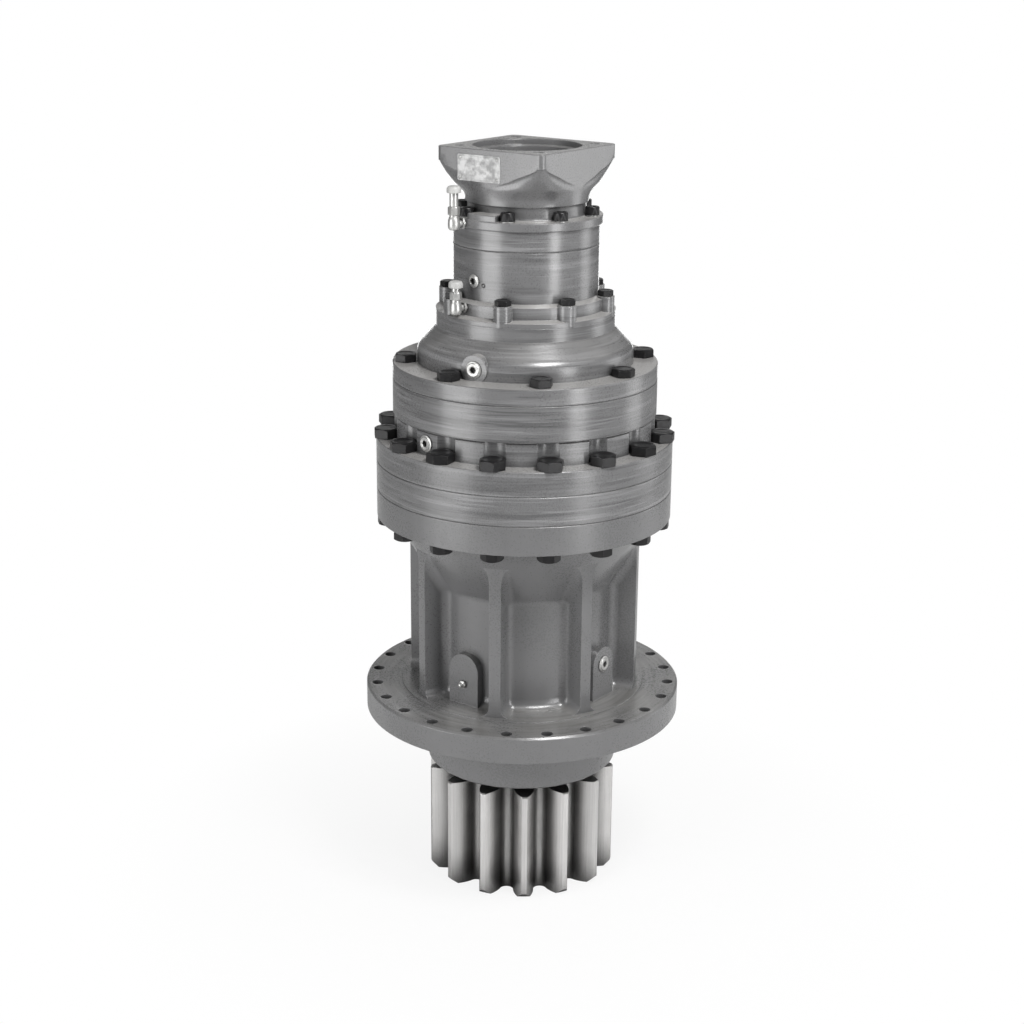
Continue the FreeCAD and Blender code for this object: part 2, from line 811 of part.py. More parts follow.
# Output housing: mounting flange, pilot, bearing barrel, ribs and flared top flange
def pocket_cores():
    """The rounded spaces between the ribs, as the foundry's cores."""
    wall = wall_radius.value
    outer = rib_radius.value + 1.0
    low = foot_level.value
    bend = flare_low.value
    top = bend + (outer - wall) * flare_slope.value
    corners = [(wall, low), (outer, low), (outer, top), (wall, bend)]
    points = [Vector(radius, 0, height) for radius, height in corners]
    ring = Part.Face(Part.makePolygon(points + points[:1]))
    ring = ring.revolve(Vector(0, 0, 0), Vector(0, 0, 1), 360)
    count = int(s.rib_count.value)
    thickness = s.rib_thickness.value
    for index in range(count):
        rib = Part.makeBox(2 * outer, thickness, 2 * top, Vector(0, -thickness / 2, -top / 2))
        rib.rotate(Vector(0, 0, 0), Vector(0, 0, 1), RIB_START + 360.0 * index / count)
        ring = ring.cut(rib)
    cores = []
    for core in ring.Solids:
        inner = []
        for edge in core.Edges:
            middle = edge.valueAt((edge.FirstParameter + edge.LastParameter) / 2)
            ends = [vertex.Point for vertex in edge.Vertexes]
            reach = min(math.hypot(point.x, point.y) for point in ends + [middle])
            if reach < outer - 0.5:
                inner.append(edge)
        cores.append(core.makeFillet(s.pocket_fillet.value, inner))
    item = document.addObject("Part::Feature", "pocket_cores")
    item.Shape = Part.makeCompound(cores)
    return item


def port_boss(name, azimuth):
    """An arch-topped pad on the barrel wall, down to the flange."""
    inset = s.housing_wall / 2
    reach = inset + s.port_boss_reach
    arch = cylinder(f"{name}_arch", s.port_boss_radius, reach, azimuth, wall_radius - inset, s.port_boss_height)
    block = document.addObject("Part::Box", f"{name}_foot")
    rise = s.port_boss_height - s.flange_thickness
    for key, size in (("Length", reach), ("Width", s.port_boss_radius * 2), ("Height", rise)):
        setattr(block, key, size.value)
        bind(block, key, size)
    turn = FreeCAD.Rotation(Vector(0, 0, 1), azimuth)
    start = wall_radius - inset
    corner = turn.multVec(Vector(start.value, -s.port_boss_radius.value, s.flange_thickness.value))
    block.Placement = FreeCAD.Placement(corner, turn)
    along_x, along_y = polar(start, azimuth)
    side_x, side_y = polar(s.port_boss_radius, azimuth - 90.0)
    bind(block, "Placement.Base.x", along_x + side_x)
    bind(block, "Placement.Base.y", along_y + side_y)
    bind(block, "Placement.Base.z", s.flange_thickness)
    return [arch, block]


def drilled(name, base, tools, azimuth_name=None):
    """A piece with several tools cut from it at once."""
    group = document.addObject("Part::Compound", f"{name}_tools")
    group.Links = tools
    document.recompute()
    return boolean("Part::Cut", azimuth_name or name, base, group)


def joined(name, base, tools):
    """A piece with several pads fused to it."""
    item = document.addObject("Part::MultiFuse", name)
    item.Shapes = [base] + tools
    document.recompute()
    return item


def stem_hole(name, azimuth, seat, height):
    """The hole for a level plug's stem, drilled inwards from its seat."""
    radius = s.plug_stem_radius + s.thread_gap
    depth = s.plug_stem_length + s.hole_gap
    return cylinder(f"{name}_hole", radius, depth + s.plug_head, azimuth, seat - depth, height)


def output_housing():
    bore = s.bearing_outer_radius
    shoulder = bore - s.bearing_shoulder_depth
    cavity = bore - s.cavity_recess
    seat_radius = s.flange_radius - s.flange_seat_width
    stage_space = ring_tip_3 + s.bush_wall_3
    chamfer = s.flange_edge_chamfer
    groove = s.joint_groove
    housing = Piece("output_housing_casting")
    housing.turn([
        (bore, seal_low),
        (pilot_radius - s.pilot_chamfer, seal_low),
        (pilot_radius, seal_low + s.pilot_chamfer),
        (pilot_radius, 0),
        (s.flange_radius, 0),
        (s.flange_radius, s.flange_thickness - chamfer),
        (s.flange_radius - chamfer, s.flange_thickness),
        (seat_radius, s.flange_thickness),
        (seat_radius, foot_level),
        (rib_radius, foot_level),
        (rib_radius, rib_top),
        (flare_radius, rim_low),
        (stack_radius, rim_low),
        (stack_radius, s.housing_height - groove),
        (stack_radius - groove, s.housing_height),
        (sleeve_radius + s.register_gap, s.housing_height),
        (sleeve_radius + s.register_gap, sleeve_low - s.hole_gap),
        (stage_space, sleeve_low - s.hole_gap),
        (stage_space, carrier_3_low - s.side_gap_3),
        (bore, upper_bearing_high + s.race_rib_width),
        (bore, upper_bearing_low),
        (shoulder, upper_bearing_low),
        (shoulder, upper_bearing_low - s.bearing_shoulder_width),
        (cavity, upper_bearing_low - s.bearing_shoulder_width),
        (cavity, lower_bearing_high + s.bearing_shoulder_width),
        (shoulder, lower_bearing_high + s.bearing_shoulder_width),
        (shoulder, lower_bearing_high),
        (bore, lower_bearing_high),
    ])
    flange_circle = s.flange_radius - s.flange_hole_inset
    housing.holes(s.flange_hole_diameter / 2, flange_circle, seal_low, s.flange_thickness + s.flange_seat_step,
                  s.flange_hole_count)
    housing.holes(s.shank_20 + s.hole_gap, lower_circle, rim_low, s.housing_height,
                  s.stack_screw_count, STACK_SCREW_START)
    housing.holes(corner_of(s.head_20) + s.scallop_gap, lower_circle, rim_low - s.head_20 * 2, rim_low,
                  s.stack_screw_count, STACK_SCREW_START)
    cored = boolean("Part::Cut", "output_housing_cored", housing.body, pocket_cores())
    pads = port_boss("plug_boss", HOUSING_PLUG_AZIMUTH) + port_boss("grease_boss", GREASE_PORT_AZIMUTH)
    padded = joined("output_housing_padded", cored, pads)
    seat = wall_radius + s.port_boss_reach
    grease = cylinder("grease_port_hole", s.grease_port_radius, s.housing_wall, GREASE_PORT_AZIMUTH,
                      wall_radius - s.hole_gap, s.grease_port_height)
    holes = [stem_hole("housing_plug", HOUSING_PLUG_AZIMUTH, seat, s.port_boss_height), grease]
    return keep(drilled("output_housing", padded, holes), "output_housing")


def bearing_races(name, low):
    """Outer and inner race of one output bearing, with guiding ribs on both."""
    high = low + s.bearing_width
    rib = s.race_rib_height
    width = s.race_rib_width
    outer = s.bearing_outer_radius
    track = outer - s.race_thickness
    ring = Piece(f"{name}_outer_race")
    ring.turn([
        (track, low + width), (track - rib, low + width), (track - rib, low), (outer, low),
        (outer, high), (track - rib, high), (track - rib, high - width), (track, high - width),
    ])
    ring.keep()
    inner = s.bearing_bore_radius
    track = inner + s.race_thickness
    ring = Piece(f"{name}_inner_race")
    ring.turn([
        (track, low + width), (track, high - width), (track + rib, high - width), (track + rib, high),
        (inner, high), (inner, low), (track + rib, low), (track + rib, low + width),
    ])
    ring.keep()


def bearing_rollers(name, low):
    """The ring of rollers of one output bearing."""
    inner = s.bearing_bore_radius + s.race_thickness
    outer = s.bearing_outer_radius - s.race_thickness
    radius = (outer - inner) / 2 - s.roller_gap
    rollers = Piece(name)
    gap = s.race_rib_width + s.roller_gap
    rollers.posts(radius, (inner + outer) / 2, low + gap, low + s.bearing_width - gap, s.roller_count)
    rollers.keep()


def output_bearings():
    for name, low in (("lower_bearing", lower_bearing_low), ("upper_bearing", upper_bearing_low)):
        bearing_races(name, low)
        bearing_rollers(f"{name}_rollers", low)
    tube("output_seal", s.bearing_outer_radius, s.seal_land_radius + s.seal_lip_clearance,
         seal_low, seal_low + s.seal_width).keep()
    tube("bearing_spacer", s.bearing_bore_radius + s.spacer_wall, s.bearing_bore_radius,
         lower_bearing_high, upper_bearing_low).keep()
    tube("shaft_nut", s.nut_radius, s.bearing_bore_radius - s.nut_thread_step,
         upper_bearing_high, nut_high).keep()


def pinion_shaft():
    """The output shaft with its pinion cut on the lower end."""
    module = s.pinion_module.value
    teeth = int(s.pinion_teeth.value)
    shift = s.pinion_shift.value
    pitch = module * teeth / 2
    tip = pitch + module * (1 + shift)
    root = pitch - module * (1 + ROOT_CLEARANCE - shift)
    thinning = s.tooth_thinning_share.value * module
    face = gear_face(module, teeth, tip, root, thinning, math.radians(PINION_TOOTH), shift)
    toothed = toothed_bar("pinion_teeth", face, pinion_low.value, pinion_high.value)
    tip_radius = s.pinion_module * (s.pinion_teeth / 2 + (1 + s.pinion_shift))
    chamfer = s.pinion_end_chamfer
    crown = s.pinion_crown_chamfer
    blank = Piece("pinion_blank")
    blank.turn([
        (0, pinion_low), (tip_radius - chamfer, pinion_low), (tip_radius, pinion_low + chamfer),
        (tip_radius, pinion_high - crown), (tip_radius - crown, pinion_high), (0, pinion_high),
    ])
    pinion = document.addObject("Part::Common", "pinion_cut")
    pinion.Base = toothed
    pinion.Tool = blank.body
    seat = s.bearing_bore_radius
    thread = seat - s.nut_thread_step
    spline_pitch = s.spline_module.value * s.spline_teeth.value / 2
    spline_root = spline_pitch - s.spline_module.value * 0.6
    spline_tip = spline_pitch + s.spline_module.value * 0.5
    step = s.spline_module * (s.spline_teeth / 2 - 0.7)
    journal = Piece("shaft_journals")
    journal.turn([
        (0, pinion_high - chamfer), (s.seal_land_radius, pinion_high - chamfer),
        (s.seal_land_radius, lower_bearing_low), (seat, lower_bearing_low), (seat, upper_bearing_high),
        (thread, upper_bearing_high), (thread, nut_high), (step, nut_high), (step, shaft_end), (0, shaft_end),
    ])
    spline = gear_face(s.spline_module.value, int(s.spline_teeth.value), spline_tip, spline_root, 0.0, 0.0)
    splined = toothed_bar("shaft_spline", spline, hub_low.value, shaft_end.value)
    whole = joined("pinion_shaft", pinion, [journal.body, splined])
    return keep(whole, "pinion_shaft")


def carrier(level, plate_low, plate_top, cover_low, cover_high, posts, post_turn, bore, hub=None):
    """Two plates joined by posts, drilled for the planet pins."""
    tip = {3: ring_tip_3, 2: ring_tip_2, 1: ring_tip_1}[level]
    radius = tip - getattr(s, f"ring_gap_{level}")
    post = getattr(s, f"post_radius_{level}")
    pin = getattr(s, f"pin_radius_{level}")
    module = getattr(s, f"module_{level}")
    centre = module * (getattr(s, f"sun_teeth_{level}") + getattr(s, f"planet_teeth_{level}")) / 2
    inner, cover_inner = bore
    frame = Piece(f"carrier_{level}_frame")
    corners = [(inner, plate_low), (radius, plate_low), (radius, plate_top), (inner, plate_top)]
    if hub:
        corners = [(inner, hub[1]), (hub[0], hub[1]), (hub[0], plate_low)] + corners[1:]
    frame.turn(corners)
    circle = radius - post - getattr(s, f"post_inset_{level}")
    frame.posts(post, circle, plate_top, cover_low, posts, PLANET_START + post_turn)
    frame.turn([
        (cover_inner, cover_low), (radius, cover_low), (radius, cover_high), (cover_inner, cover_high),
    ])
    frame.holes(pin, centre, plate_low, cover_high, posts, PLANET_START)
    pins = Piece(f"planet_pins_{level}")
    pins.posts(pin, centre, plate_low, cover_high, posts, PLANET_START)
    pins.keep()
    bush = pin + getattr(s, f"bush_wall_{level}")
    sleeves = Piece(f"planet_bushes_{level}")
    sleeves.posts(bush, centre, plate_top, cover_low, posts, PLANET_START)
    sleeves.holes(pin, centre, plate_top, cover_low, posts, PLANET_START)
    sleeves.keep()
    return frame


def output_stage():
    """The third stage: the heavy carrier on the shaft's spline, four planets and its sun."""
    spline_pitch = s.spline_module.value * s.spline_teeth.value / 2
    clearance = s.spline_clearance.value
    hub = (s.spline_module * (s.spline_teeth / 2 + 0.5) + s.hub_wall, hub_low)
    bore = (s.spline_module * (s.spline_teeth / 2 - 1.5), post_bore_3())
    frame = carrier(3, carrier_3_low, carrier_3_top, cover_3_low, cover_3_high,
                    s.planet_count_3, 45.0, bore, hub)
    module = s.spline_module.value
    tip = spline_pitch + module * 0.5 + clearance
    root = spline_pitch - module * 0.6 + clearance
    face = gear_face(module, int(s.spline_teeth.value), tip, root, -clearance, 0.0)
    broach = toothed_bar("carrier_3_spline", face, hub_low.value - 1, carrier_3_top.value + 1)
    keep(boolean("Part::Cut", "carrier_3", frame.body, broach), "carrier_3")
    for index in range(stage_3.count):
        stage_3.planet(index, s.pin_radius_3 + s.bush_wall_3 + s.bush_clearance)
    low = carrier_3_top.value + s.side_gap_3.value / 2
    gear = stage_3.sun("sun_gear_3_teeth", low, stage_3.high + s.side_gap_3.value / 2)
    shaft = tube_bar("sun_gear_3_shaft", s.sun_shaft_radius_3, carrier_3_top + s.side_gap_3, carrier_2_top)
    keep(joined("sun_gear_3", gear, [shaft.body]), "sun_gear_3")


def post_bore_3():
    """The third carrier's cover lets its sun gear through."""
    return s.module_3 * (s.sun_teeth_3 / 2 + 1) + s.sun_bore_gap_3


def tube_bar(name, radius, low, high):
    """A plain round bar on the Z axis."""
    bar = Piece(name)
    bar.turn([(0, low), (radius, low), (radius, high), (0, high)])
    return bar


def middle_stage():
    """The second stage: its carrier holds the third stage's sun gear."""
    bore = (s.sun_shaft_radius_3, s.module_2 * (s.sun_teeth_2 / 2 + 1) + s.sun_bore_gap_2)
    frame = carrier(2, carrier_2_low, carrier_2_top, cover_2_low, cover_2_high,
                    s.planet_count_2, 60.0, bore)
    keep(frame.body, "carrier_2")
    for index in range(stage_2.count):
        stage_2.planet(index, s.pin_radius_2 + s.bush_wall_2 + s.bush_clearance)
    low = carrier_2_top.value + s.side_gap_2.value / 2
    gear = stage_2.sun("sun_gear_2_teeth", low, stage_2.high + s.side_gap_2.value / 2)
    shaft = tube_bar("sun_gear_2_shaft", s.sun_shaft_radius_2, carrier_2_top + s.side_gap_2, carrier_1_top)
    keep(joined("sun_gear_2", gear, [shaft.body]), "sun_gear_2")


def first_stage():
    """The first stage: small gears in a ring of their own under the dome."""
    bore = (s.sun_shaft_radius_2, s.module_1 * (s.sun_teeth_1 / 2 + 1) + s.side_gap_1)
    frame = carrier(1, carrier_1_low, carrier_1_top, cover_1_low, cover_1_high,
                    s.planet_count_1, 60.0, bore)
    keep(frame.body, "carrier_1")
    for index in range(stage_1.count):
        stage_1.planet(index, s.pin_radius_1 + s.bush_wall_1 + s.bush_clearance)


def ring_gear(stage, name, blank, low, high):
    broach = stage.broach(f"{name}_broach", low.value - 1, high.value + 1)
    return keep(boolean("Part::Cut", name, blank.body, broach), name)


def ring_gears():
    groove = s.joint_groove
    depth = s.ring_rim_3 * s.thread_depth_share
    blank = Piece("ring_gear_3_blank")
    inner = ring_tip_3 - s.module_3 / 2
    blank.turn([
        (inner, sleeve_low), (sleeve_radius, sleeve_low), (sleeve_radius, s.housing_height),
        (stack_radius - groove, s.housing_height), (stack_radius, s.housing_height + groove),
        (stack_radius, rim_3_high - groove), (stack_radius - groove, rim_3_high),
        (sleeve_radius, rim_3_high), (sleeve_radius, sleeve_high), (inner, sleeve_high),
    ])
    blank.holes(s.shank_24 + s.thread_gap, upper_circle, rim_3_high - depth, rim_3_high,
                s.stack_screw_count, STACK_SCREW_START)
    blank.holes(s.shank_20 + s.thread_gap, lower_circle, s.housing_height, s.housing_height + depth,
                s.stack_screw_count, STACK_SCREW_START)
    ring_gear(stage_3, "ring_gear_3", blank, sleeve_low, sleeve_high)
    blank = Piece("ring_gear_2_blank")
    inner = ring_tip_2 - s.module_2 / 2
    step = s.register_radius + s.register_gap
    radius = s.mid_stack_radius
    low = adapter_top + s.register_depth + s.hole_gap
    high = rim_2_high - s.register_depth - s.hole_gap
    blank.turn([
        (inner, low), (step, low), (step, adapter_top), (radius - groove, adapter_top),
        (radius, adapter_top + groove), (radius, rim_2_high - groove), (radius - groove, rim_2_high),
        (step, rim_2_high), (step, high), (inner, high),
    ])
    blank.holes(s.shank_20 + s.hole_gap, mid_circle, adapter_top, rim_2_high,
                s.mid_screw_count, MID_SCREW_START)
    ring_gear(stage_2, "ring_gear_2", blank, low, high)
    low = middle_1 - s.ring_width_1 / 2
    high = middle_1 + s.ring_width_1 / 2
    blank = tube("ring_gear_1_blank", ring_outer_1, ring_tip_1 - s.module_1 / 2, low, high)
    ring_gear(stage_1, "ring_gear_1", blank, low, high)


def stage_adapter():
    """The step between the large and the middle ring gear, with scallops for the screw heads."""
    sleeve = sleeve_radius + s.register_gap
    groove = s.joint_groove
    adapter = Piece("stage_adapter_casting")
    adapter.turn([
        (sleeve, rim_3_high), (stack_radius - groove, rim_3_high), (stack_radius, rim_3_high + groove),
        (stack_radius, adapter_shoulder - groove), (stack_radius - groove, adapter_shoulder),
        (neck_radius, adapter_shoulder), (neck_radius, adapter_top - groove * 2),
        (neck_radius - groove * 2, adapter_top), (s.register_radius, adapter_top),
        (s.register_radius, adapter_top + s.register_depth),
        (s.adapter_bore_radius, adapter_top + s.register_depth),
        (s.adapter_bore_radius, sleeve_high + s.hole_gap), (sleeve, sleeve_high + s.hole_gap),
    ])
    adapter.holes(corner_of(s.head_24) + s.scallop_gap, upper_circle, adapter_shoulder, adapter_top,
                  s.stack_screw_count, STACK_SCREW_START)
    adapter.holes(s.shank_24 + s.hole_gap, upper_circle, rim_3_high, adapter_shoulder,
                  s.stack_screw_count, STACK_SCREW_START)
    adapter.holes(s.shank_20 + s.thread_gap, mid_circle, adapter_top - s.adapter_neck * 0.8, adapter_top,
                  s.mid_screw_count, MID_SCREW_START)
    level = (adapter_shoulder + adapter_top) / 2
    hole = stem_hole("stage_plug", STAGE_PLUG_AZIMUTH, neck_radius, level)
    return keep(drilled("stage_adapter", adapter.body, [hole]), "stage_adapter")


def dome_cover():
    """The cover over the first stage, with the level plug's boss."""
    groove = s.joint_groove
    radius = s.mid_stack_radius
    shoulder = dome_rim_top + s.dome_shoulder_height
    band_low = dome_top - s.dome_top_band
    roof = cover_1_high + s.side_gap_1
    ring_top = middle_1 + s.ring_width_1 / 2 + s.hole_gap
    bearing_low = roof + s.input_shoulder
    spigot_floor = dome_top - s.brake_spigot_depth - s.hole_gap
    bearing = s.input_bearing_radius
    dome = Piece("dome_cover_casting")
    dome.turn([
        (s.adapter_bore_radius, rim_2_high - s.register_depth),
        (s.register_radius, rim_2_high - s.register_depth),
        (s.register_radius, rim_2_high), (radius - groove, rim_2_high), (radius, rim_2_high + groove),
        (radius, dome_rim_top - groove), (radius - groove, dome_rim_top), (s.dome_foot_radius, dome_rim_top),
        (s.dome_foot_radius, shoulder, s.dome_shoulder_curve),
        (s.dome_foot_radius - s.dome_shoulder_drop, shoulder + s.dome_shoulder_rise),
        (s.dome_top_radius + s.dome_crown, band_low - s.dome_crown), (s.dome_top_radius, band_low),
        (s.dome_top_radius, dome_top), (s.brake_spigot_radius + s.register_gap, dome_top),
        (s.brake_spigot_radius + s.register_gap, spigot_floor), (bearing, spigot_floor),
        (bearing, bearing_low), (bearing - s.input_shoulder, bearing_low), (bearing - s.input_shoulder, roof),
        (ring_outer_1 - s.dome_bore_step, roof), (ring_outer_1 - s.dome_bore_step, ring_top),
        (ring_outer_1, ring_top), (ring_outer_1, carrier_1_low + s.stage_gap),
        (s.adapter_bore_radius, carrier_1_low),
    ])
    dome.holes(s.shank_20 + s.hole_gap, mid_circle, rim_2_high, dome_rim_top, s.mid_screw_count,
               MID_SCREW_START)
    dome.holes(s.shank_14 + s.thread_gap, brake_circle, dome_top - s.neck_thread_depth, dome_top,
               s.neck_screw_count, NECK_SCREW_START)
    level = dome_rim_top + s.level_boss_height
    seat = s.dome_foot_radius + s.level_boss_reach
    start = s.dome_foot_radius - s.level_boss_radius
    boss = cylinder("level_boss", s.level_boss_radius, seat - start, LEVEL_PLUG_AZIMUTH, start, level)
    padded = joined("dome_cover_padded", dome.body, [boss])
    hole = stem_hole("level_plug", LEVEL_PLUG_AZIMUTH, seat, level)
    return keep(drilled("dome_cover", padded, [hole]), "dome_cover")


# Brake: a spring-applied pack of discs that oil pressure lifts the piston from
disc_floor = dome_top + s.brake_floor
disc_pitch = s.steel_disc_thickness + s.friction_disc_thickness + s.disc_gap * 2
stack_top = disc_floor + disc_pitch * (s.steel_disc_count - 1) + s.steel_disc_thickness
piston_low = stack_top + s.piston_gap
piston_top = cylinder_top - s.piston_travel * 4
input_bore = s.input_bearing_radius + s.input_shoulder
hub_radius = s.input_radius + s.brake_hub_wall
spring_circle = (s.piston_bore_radius + s.brake_bore_radius) / 2


def fitting_hole(name, azimuth, seat, height):
    """The port that a fitting's stub screws into."""
    depth = s.fitting_port_depth
    radius = s.fitting_stub_radius + s.thread_gap
    return cylinder(f"{name}_port", radius, depth * 2, azimuth, seat - depth, height)


def brake_housing():
    """The disc housing: eight cast screw bosses round its foot and a plain neck."""
    top_radius = s.dome_top_radius
    web = top_radius - s.brake_web_inset
    rim = dome_top + s.brake_flange_rim
    boss_top = dome_top + s.brake_boss_height
    neck = s.brake_neck_radius
    groove = s.joint_groove
    housing = Piece("brake_housing_casting")
    housing.turn([
        (input_bore, dome_top - s.brake_spigot_depth),
        (s.brake_spigot_radius, dome_top - s.brake_spigot_depth),
        (s.brake_spigot_radius, dome_top), (top_radius, dome_top), (top_radius, rim), (web, rim + groove * 2),
        (web, boss_top - groove * 3), (neck + groove, boss_top), (neck, boss_top), (neck, brake_top - groove),
        (neck - groove, brake_top), (s.brake_bore_radius, brake_top), (s.brake_bore_radius, disc_floor),
        (input_bore, disc_floor),
    ])
    count = s.neck_screw_count
    housing.posts(s.brake_boss_radius, brake_circle, dome_top, boss_top, count, NECK_SCREW_START)
    housing.holes(s.shank_14 + s.hole_gap, brake_circle, dome_top, boss_top, count, NECK_SCREW_START)
    housing.holes(s.shank_14 + s.thread_gap, motor_circle, brake_top - s.neck_thread_depth, brake_top,
                  count, NECK_SCREW_START)
    holes = [
        stem_hole("brake_plug", BRAKE_PLUG_AZIMUTH, s.brake_neck_radius, dome_top + s.brake_plug_height),
        fitting_hole("breather", BREATHER_AZIMUTH, web, dome_top + s.breather_height),
    ]
    return keep(drilled("brake_housing", housing.body, holes), "brake_housing")


def brake_cylinder():
    """The ring that the stepped piston works in."""
    neck = s.brake_neck_radius
    groove = s.joint_groove
    ring = Piece("brake_cylinder")
    ring.turn([
        (s.cylinder_bore_radius, brake_top), (neck - groove, brake_top), (neck, brake_top + groove),
        (neck, cylinder_top), (s.cylinder_bore_radius, cylinder_top),
    ])
    ring.holes(s.shank_14 + s.hole_gap, motor_circle, brake_top, cylinder_top, s.neck_screw_count,
               NECK_SCREW_START)
    ring.keep()


def brake_discs():
    """Steel discs held by the housing, friction discs carried by the hub, one by one."""
    steel = Piece("brake_steel_discs")
    lining = Piece("brake_friction_discs")
    outer = s.brake_bore_radius - s.disc_edge_gap
    inner = outer - s.disc_overlap
    lining_outer = outer - s.disc_edge_gap * 4
    for index in range(int(s.steel_disc_count.value)):
        low = disc_floor + disc_pitch * index
        high = low + s.steel_disc_thickness
        steel.turn([(inner, low), (outer, low), (outer, high), (inner, high)])
        if index + 1 < int(s.steel_disc_count.value):
            low = high + s.disc_gap
            high = low + s.friction_disc_thickness
            lining.turn([(hub_radius, low), (lining_outer, low), (lining_outer, high), (hub_radius, high)])
    steel.keep()
    lining.keep()
    tube("brake_hub", hub_radius, s.input_radius, disc_floor + s.disc_gap, stack_top - s.disc_gap).keep()


def brake_piston():
    """The stepped piston with its spring pockets, its seals and its springs."""
    small = s.brake_bore_radius - s.piston_wall
    large = s.cylinder_bore_radius - s.piston_wall
    step = brake_top + s.piston_step
    depth = s.piston_seal_width
    piston = Piece("brake_piston")
    lower = brake_top - depth * 3
    upper = piston_top - depth * 2
    piston.turn([
        (s.piston_bore_radius, piston_low), (small, piston_low), (small, lower), (small - depth, lower),
        (small - depth, lower + depth), (small, lower + depth), (small, step), (large, step), (large, upper),
        (large - depth, upper), (large - depth, upper + depth), (large, upper + depth),
        (large, piston_top), (s.piston_bore_radius, piston_top),
    ])
    pocket = piston_top - s.spring_pocket
    piston.holes(s.spring_radius + s.hole_gap, spring_circle, pocket, piston_top, s.spring_count)
    piston.keep()
    seals = Piece("piston_seals")
    for radius, low in ((small, lower), (large, upper)):
        inner = radius - depth
        seals.turn([(inner, low), (radius - s.piston_wall, low), (radius - s.piston_wall, low + depth),
                    (inner, low + depth)])
    seals.keep()
    springs = Piece("brake_springs")
    high = cylinder_top + s.spring_seat_depth
    springs.posts(s.spring_radius, spring_circle, pocket, high, s.spring_count)
    springs.holes(s.spring_radius - s.spring_wire, spring_circle, pocket, high, s.spring_count)
    springs.keep()


upper_bearing_seat = cylinder_top + s.input_shoulder
seal_seat = upper_bearing_seat + s.input_bearing_width


def motor_adapter():
    """The flare from the round brake flange to the square motor flange, bored for the motor."""
    neck = s.motor_neck_radius
    band_low = motor_top - s.bowl_band
    bearing = s.input_bearing_radius
    cavity_low = seal_seat + s.input_seal_width
    adapter = Piece("motor_adapter_casting")
    adapter.turn([
        (bearing, upper_bearing_seat), (bearing - s.input_shoulder, upper_bearing_seat),
        (bearing - s.input_shoulder, cylinder_top), (s.motor_flange_radius, cylinder_top),
        (s.motor_flange_radius, motor_flange_top), (neck, motor_flange_top),
        (neck, bowl_low - s.input_shoulder),
        (s.bowl_foot_radius, bowl_low, s.bowl_curve), (s.bowl_radius, band_low), (s.bowl_radius, motor_top),
        (s.motor_pilot_radius, motor_top), (s.motor_pilot_radius, motor_top - s.motor_pilot_depth),
        (s.motor_cavity_radius, motor_top - s.motor_pilot_depth),
        (s.motor_cavity_radius, bowl_low + s.socket_inset),
        (s.socket_radius + s.socket_inset, bowl_low), (s.socket_radius + s.socket_inset, cavity_low),
        (bearing, cavity_low),
    ])
    trim = new_sketch(adapter.body, adapter.next_name("square"), "XY_Plane", motor_top)
    half = s.square_side / 2
    outline(trim, [(-half, -half), (half, -half), (half, half), (-half, half)])
    ring_sketch(trim, 0, 0, s.bowl_radius + s.motor_neck_height)
    feature = adapter.body.newObject("PartDesign::Pocket", adapter.next_name("square_cut"))
    feature.Profile = trim
    depth = s.bowl_height + s.input_shoulder
    feature.Length = depth.value
    bind(feature, "Length", depth)
    adapter.done(feature)
    adapter.holes(s.motor_bolt_radius, s.motor_bolt_circle / 2, motor_top - s.motor_bolt_depth, motor_top,
                  4, 45.0)
    adapter.holes(s.shank_14 + s.hole_gap, motor_circle, cylinder_top, motor_flange_top,
                  s.neck_screw_count, NECK_SCREW_START)
    adapter.holes(s.spring_radius + s.hole_gap, spring_circle, cylinder_top,
                  cylinder_top + s.spring_seat_depth, s.spring_count)
    inner = neck - s.input_shoulder
    outer = s.motor_flange_radius - s.input_shoulder / 2
    adapter.turn([
        (inner, motor_flange_top), (outer, motor_flange_top), (outer, motor_flange_top + s.port_pad_height),
        (inner, motor_flange_top + s.port_pad_height),
    ], PORT_PAD_AZIMUTH, s.port_pad_angle)
    hole = fitting_hole("release", RELEASE_AZIMUTH, s.motor_flange_radius, cylinder_top + s.release_height)
    return keep(drilled("motor_adapter", adapter.body, [hole]), "motor_adapter")


def input_shaft():
    """The input shaft with the first sun gear below and the motor's splined socket above."""
    radius = s.input_radius
    low = carrier_1_top + s.side_gap_1 / 2
    root = s.module_1 * (s.sun_teeth_1 / 2 - (1 + ROOT_CLEARANCE))
    gear_top = middle_1 + s.face_1 / 2 + s.side_gap_1 / 2
    socket_low = seal_seat + s.input_seal_width + s.input_shoulder
    socket_high = socket_low + s.socket_length
    shaft = Piece("input_shaft_turned")
    bore = s.socket_module * (s.socket_teeth / 2 - 1)
    shaft.turn([
        (0, low), (root, low), (root, cover_1_high), (radius, cover_1_high), (radius, socket_low),
        (s.socket_radius, socket_low), (s.socket_radius, socket_high), (bore, socket_high),
        (bore, socket_high - s.socket_depth), (0, socket_high - s.socket_depth),
    ])
    gear = stage_1.sun("input_shaft_teeth", low.value, gear_top.value)
    module = s.socket_module.value
    teeth = int(s.socket_teeth.value)
    pitch = module * teeth / 2
    face = gear_face(module, teeth, pitch + module * 0.6, pitch - module * 0.6, 0.0, 0.0)
    floor = (socket_high - s.socket_depth).value
    broach = toothed_bar("input_socket_spline", face, floor, socket_high.value)
    whole = joined("input_shaft_joined", shaft.body, [gear])
    return keep(boolean("Part::Cut", "input_shaft", whole, broach), "input_shaft")


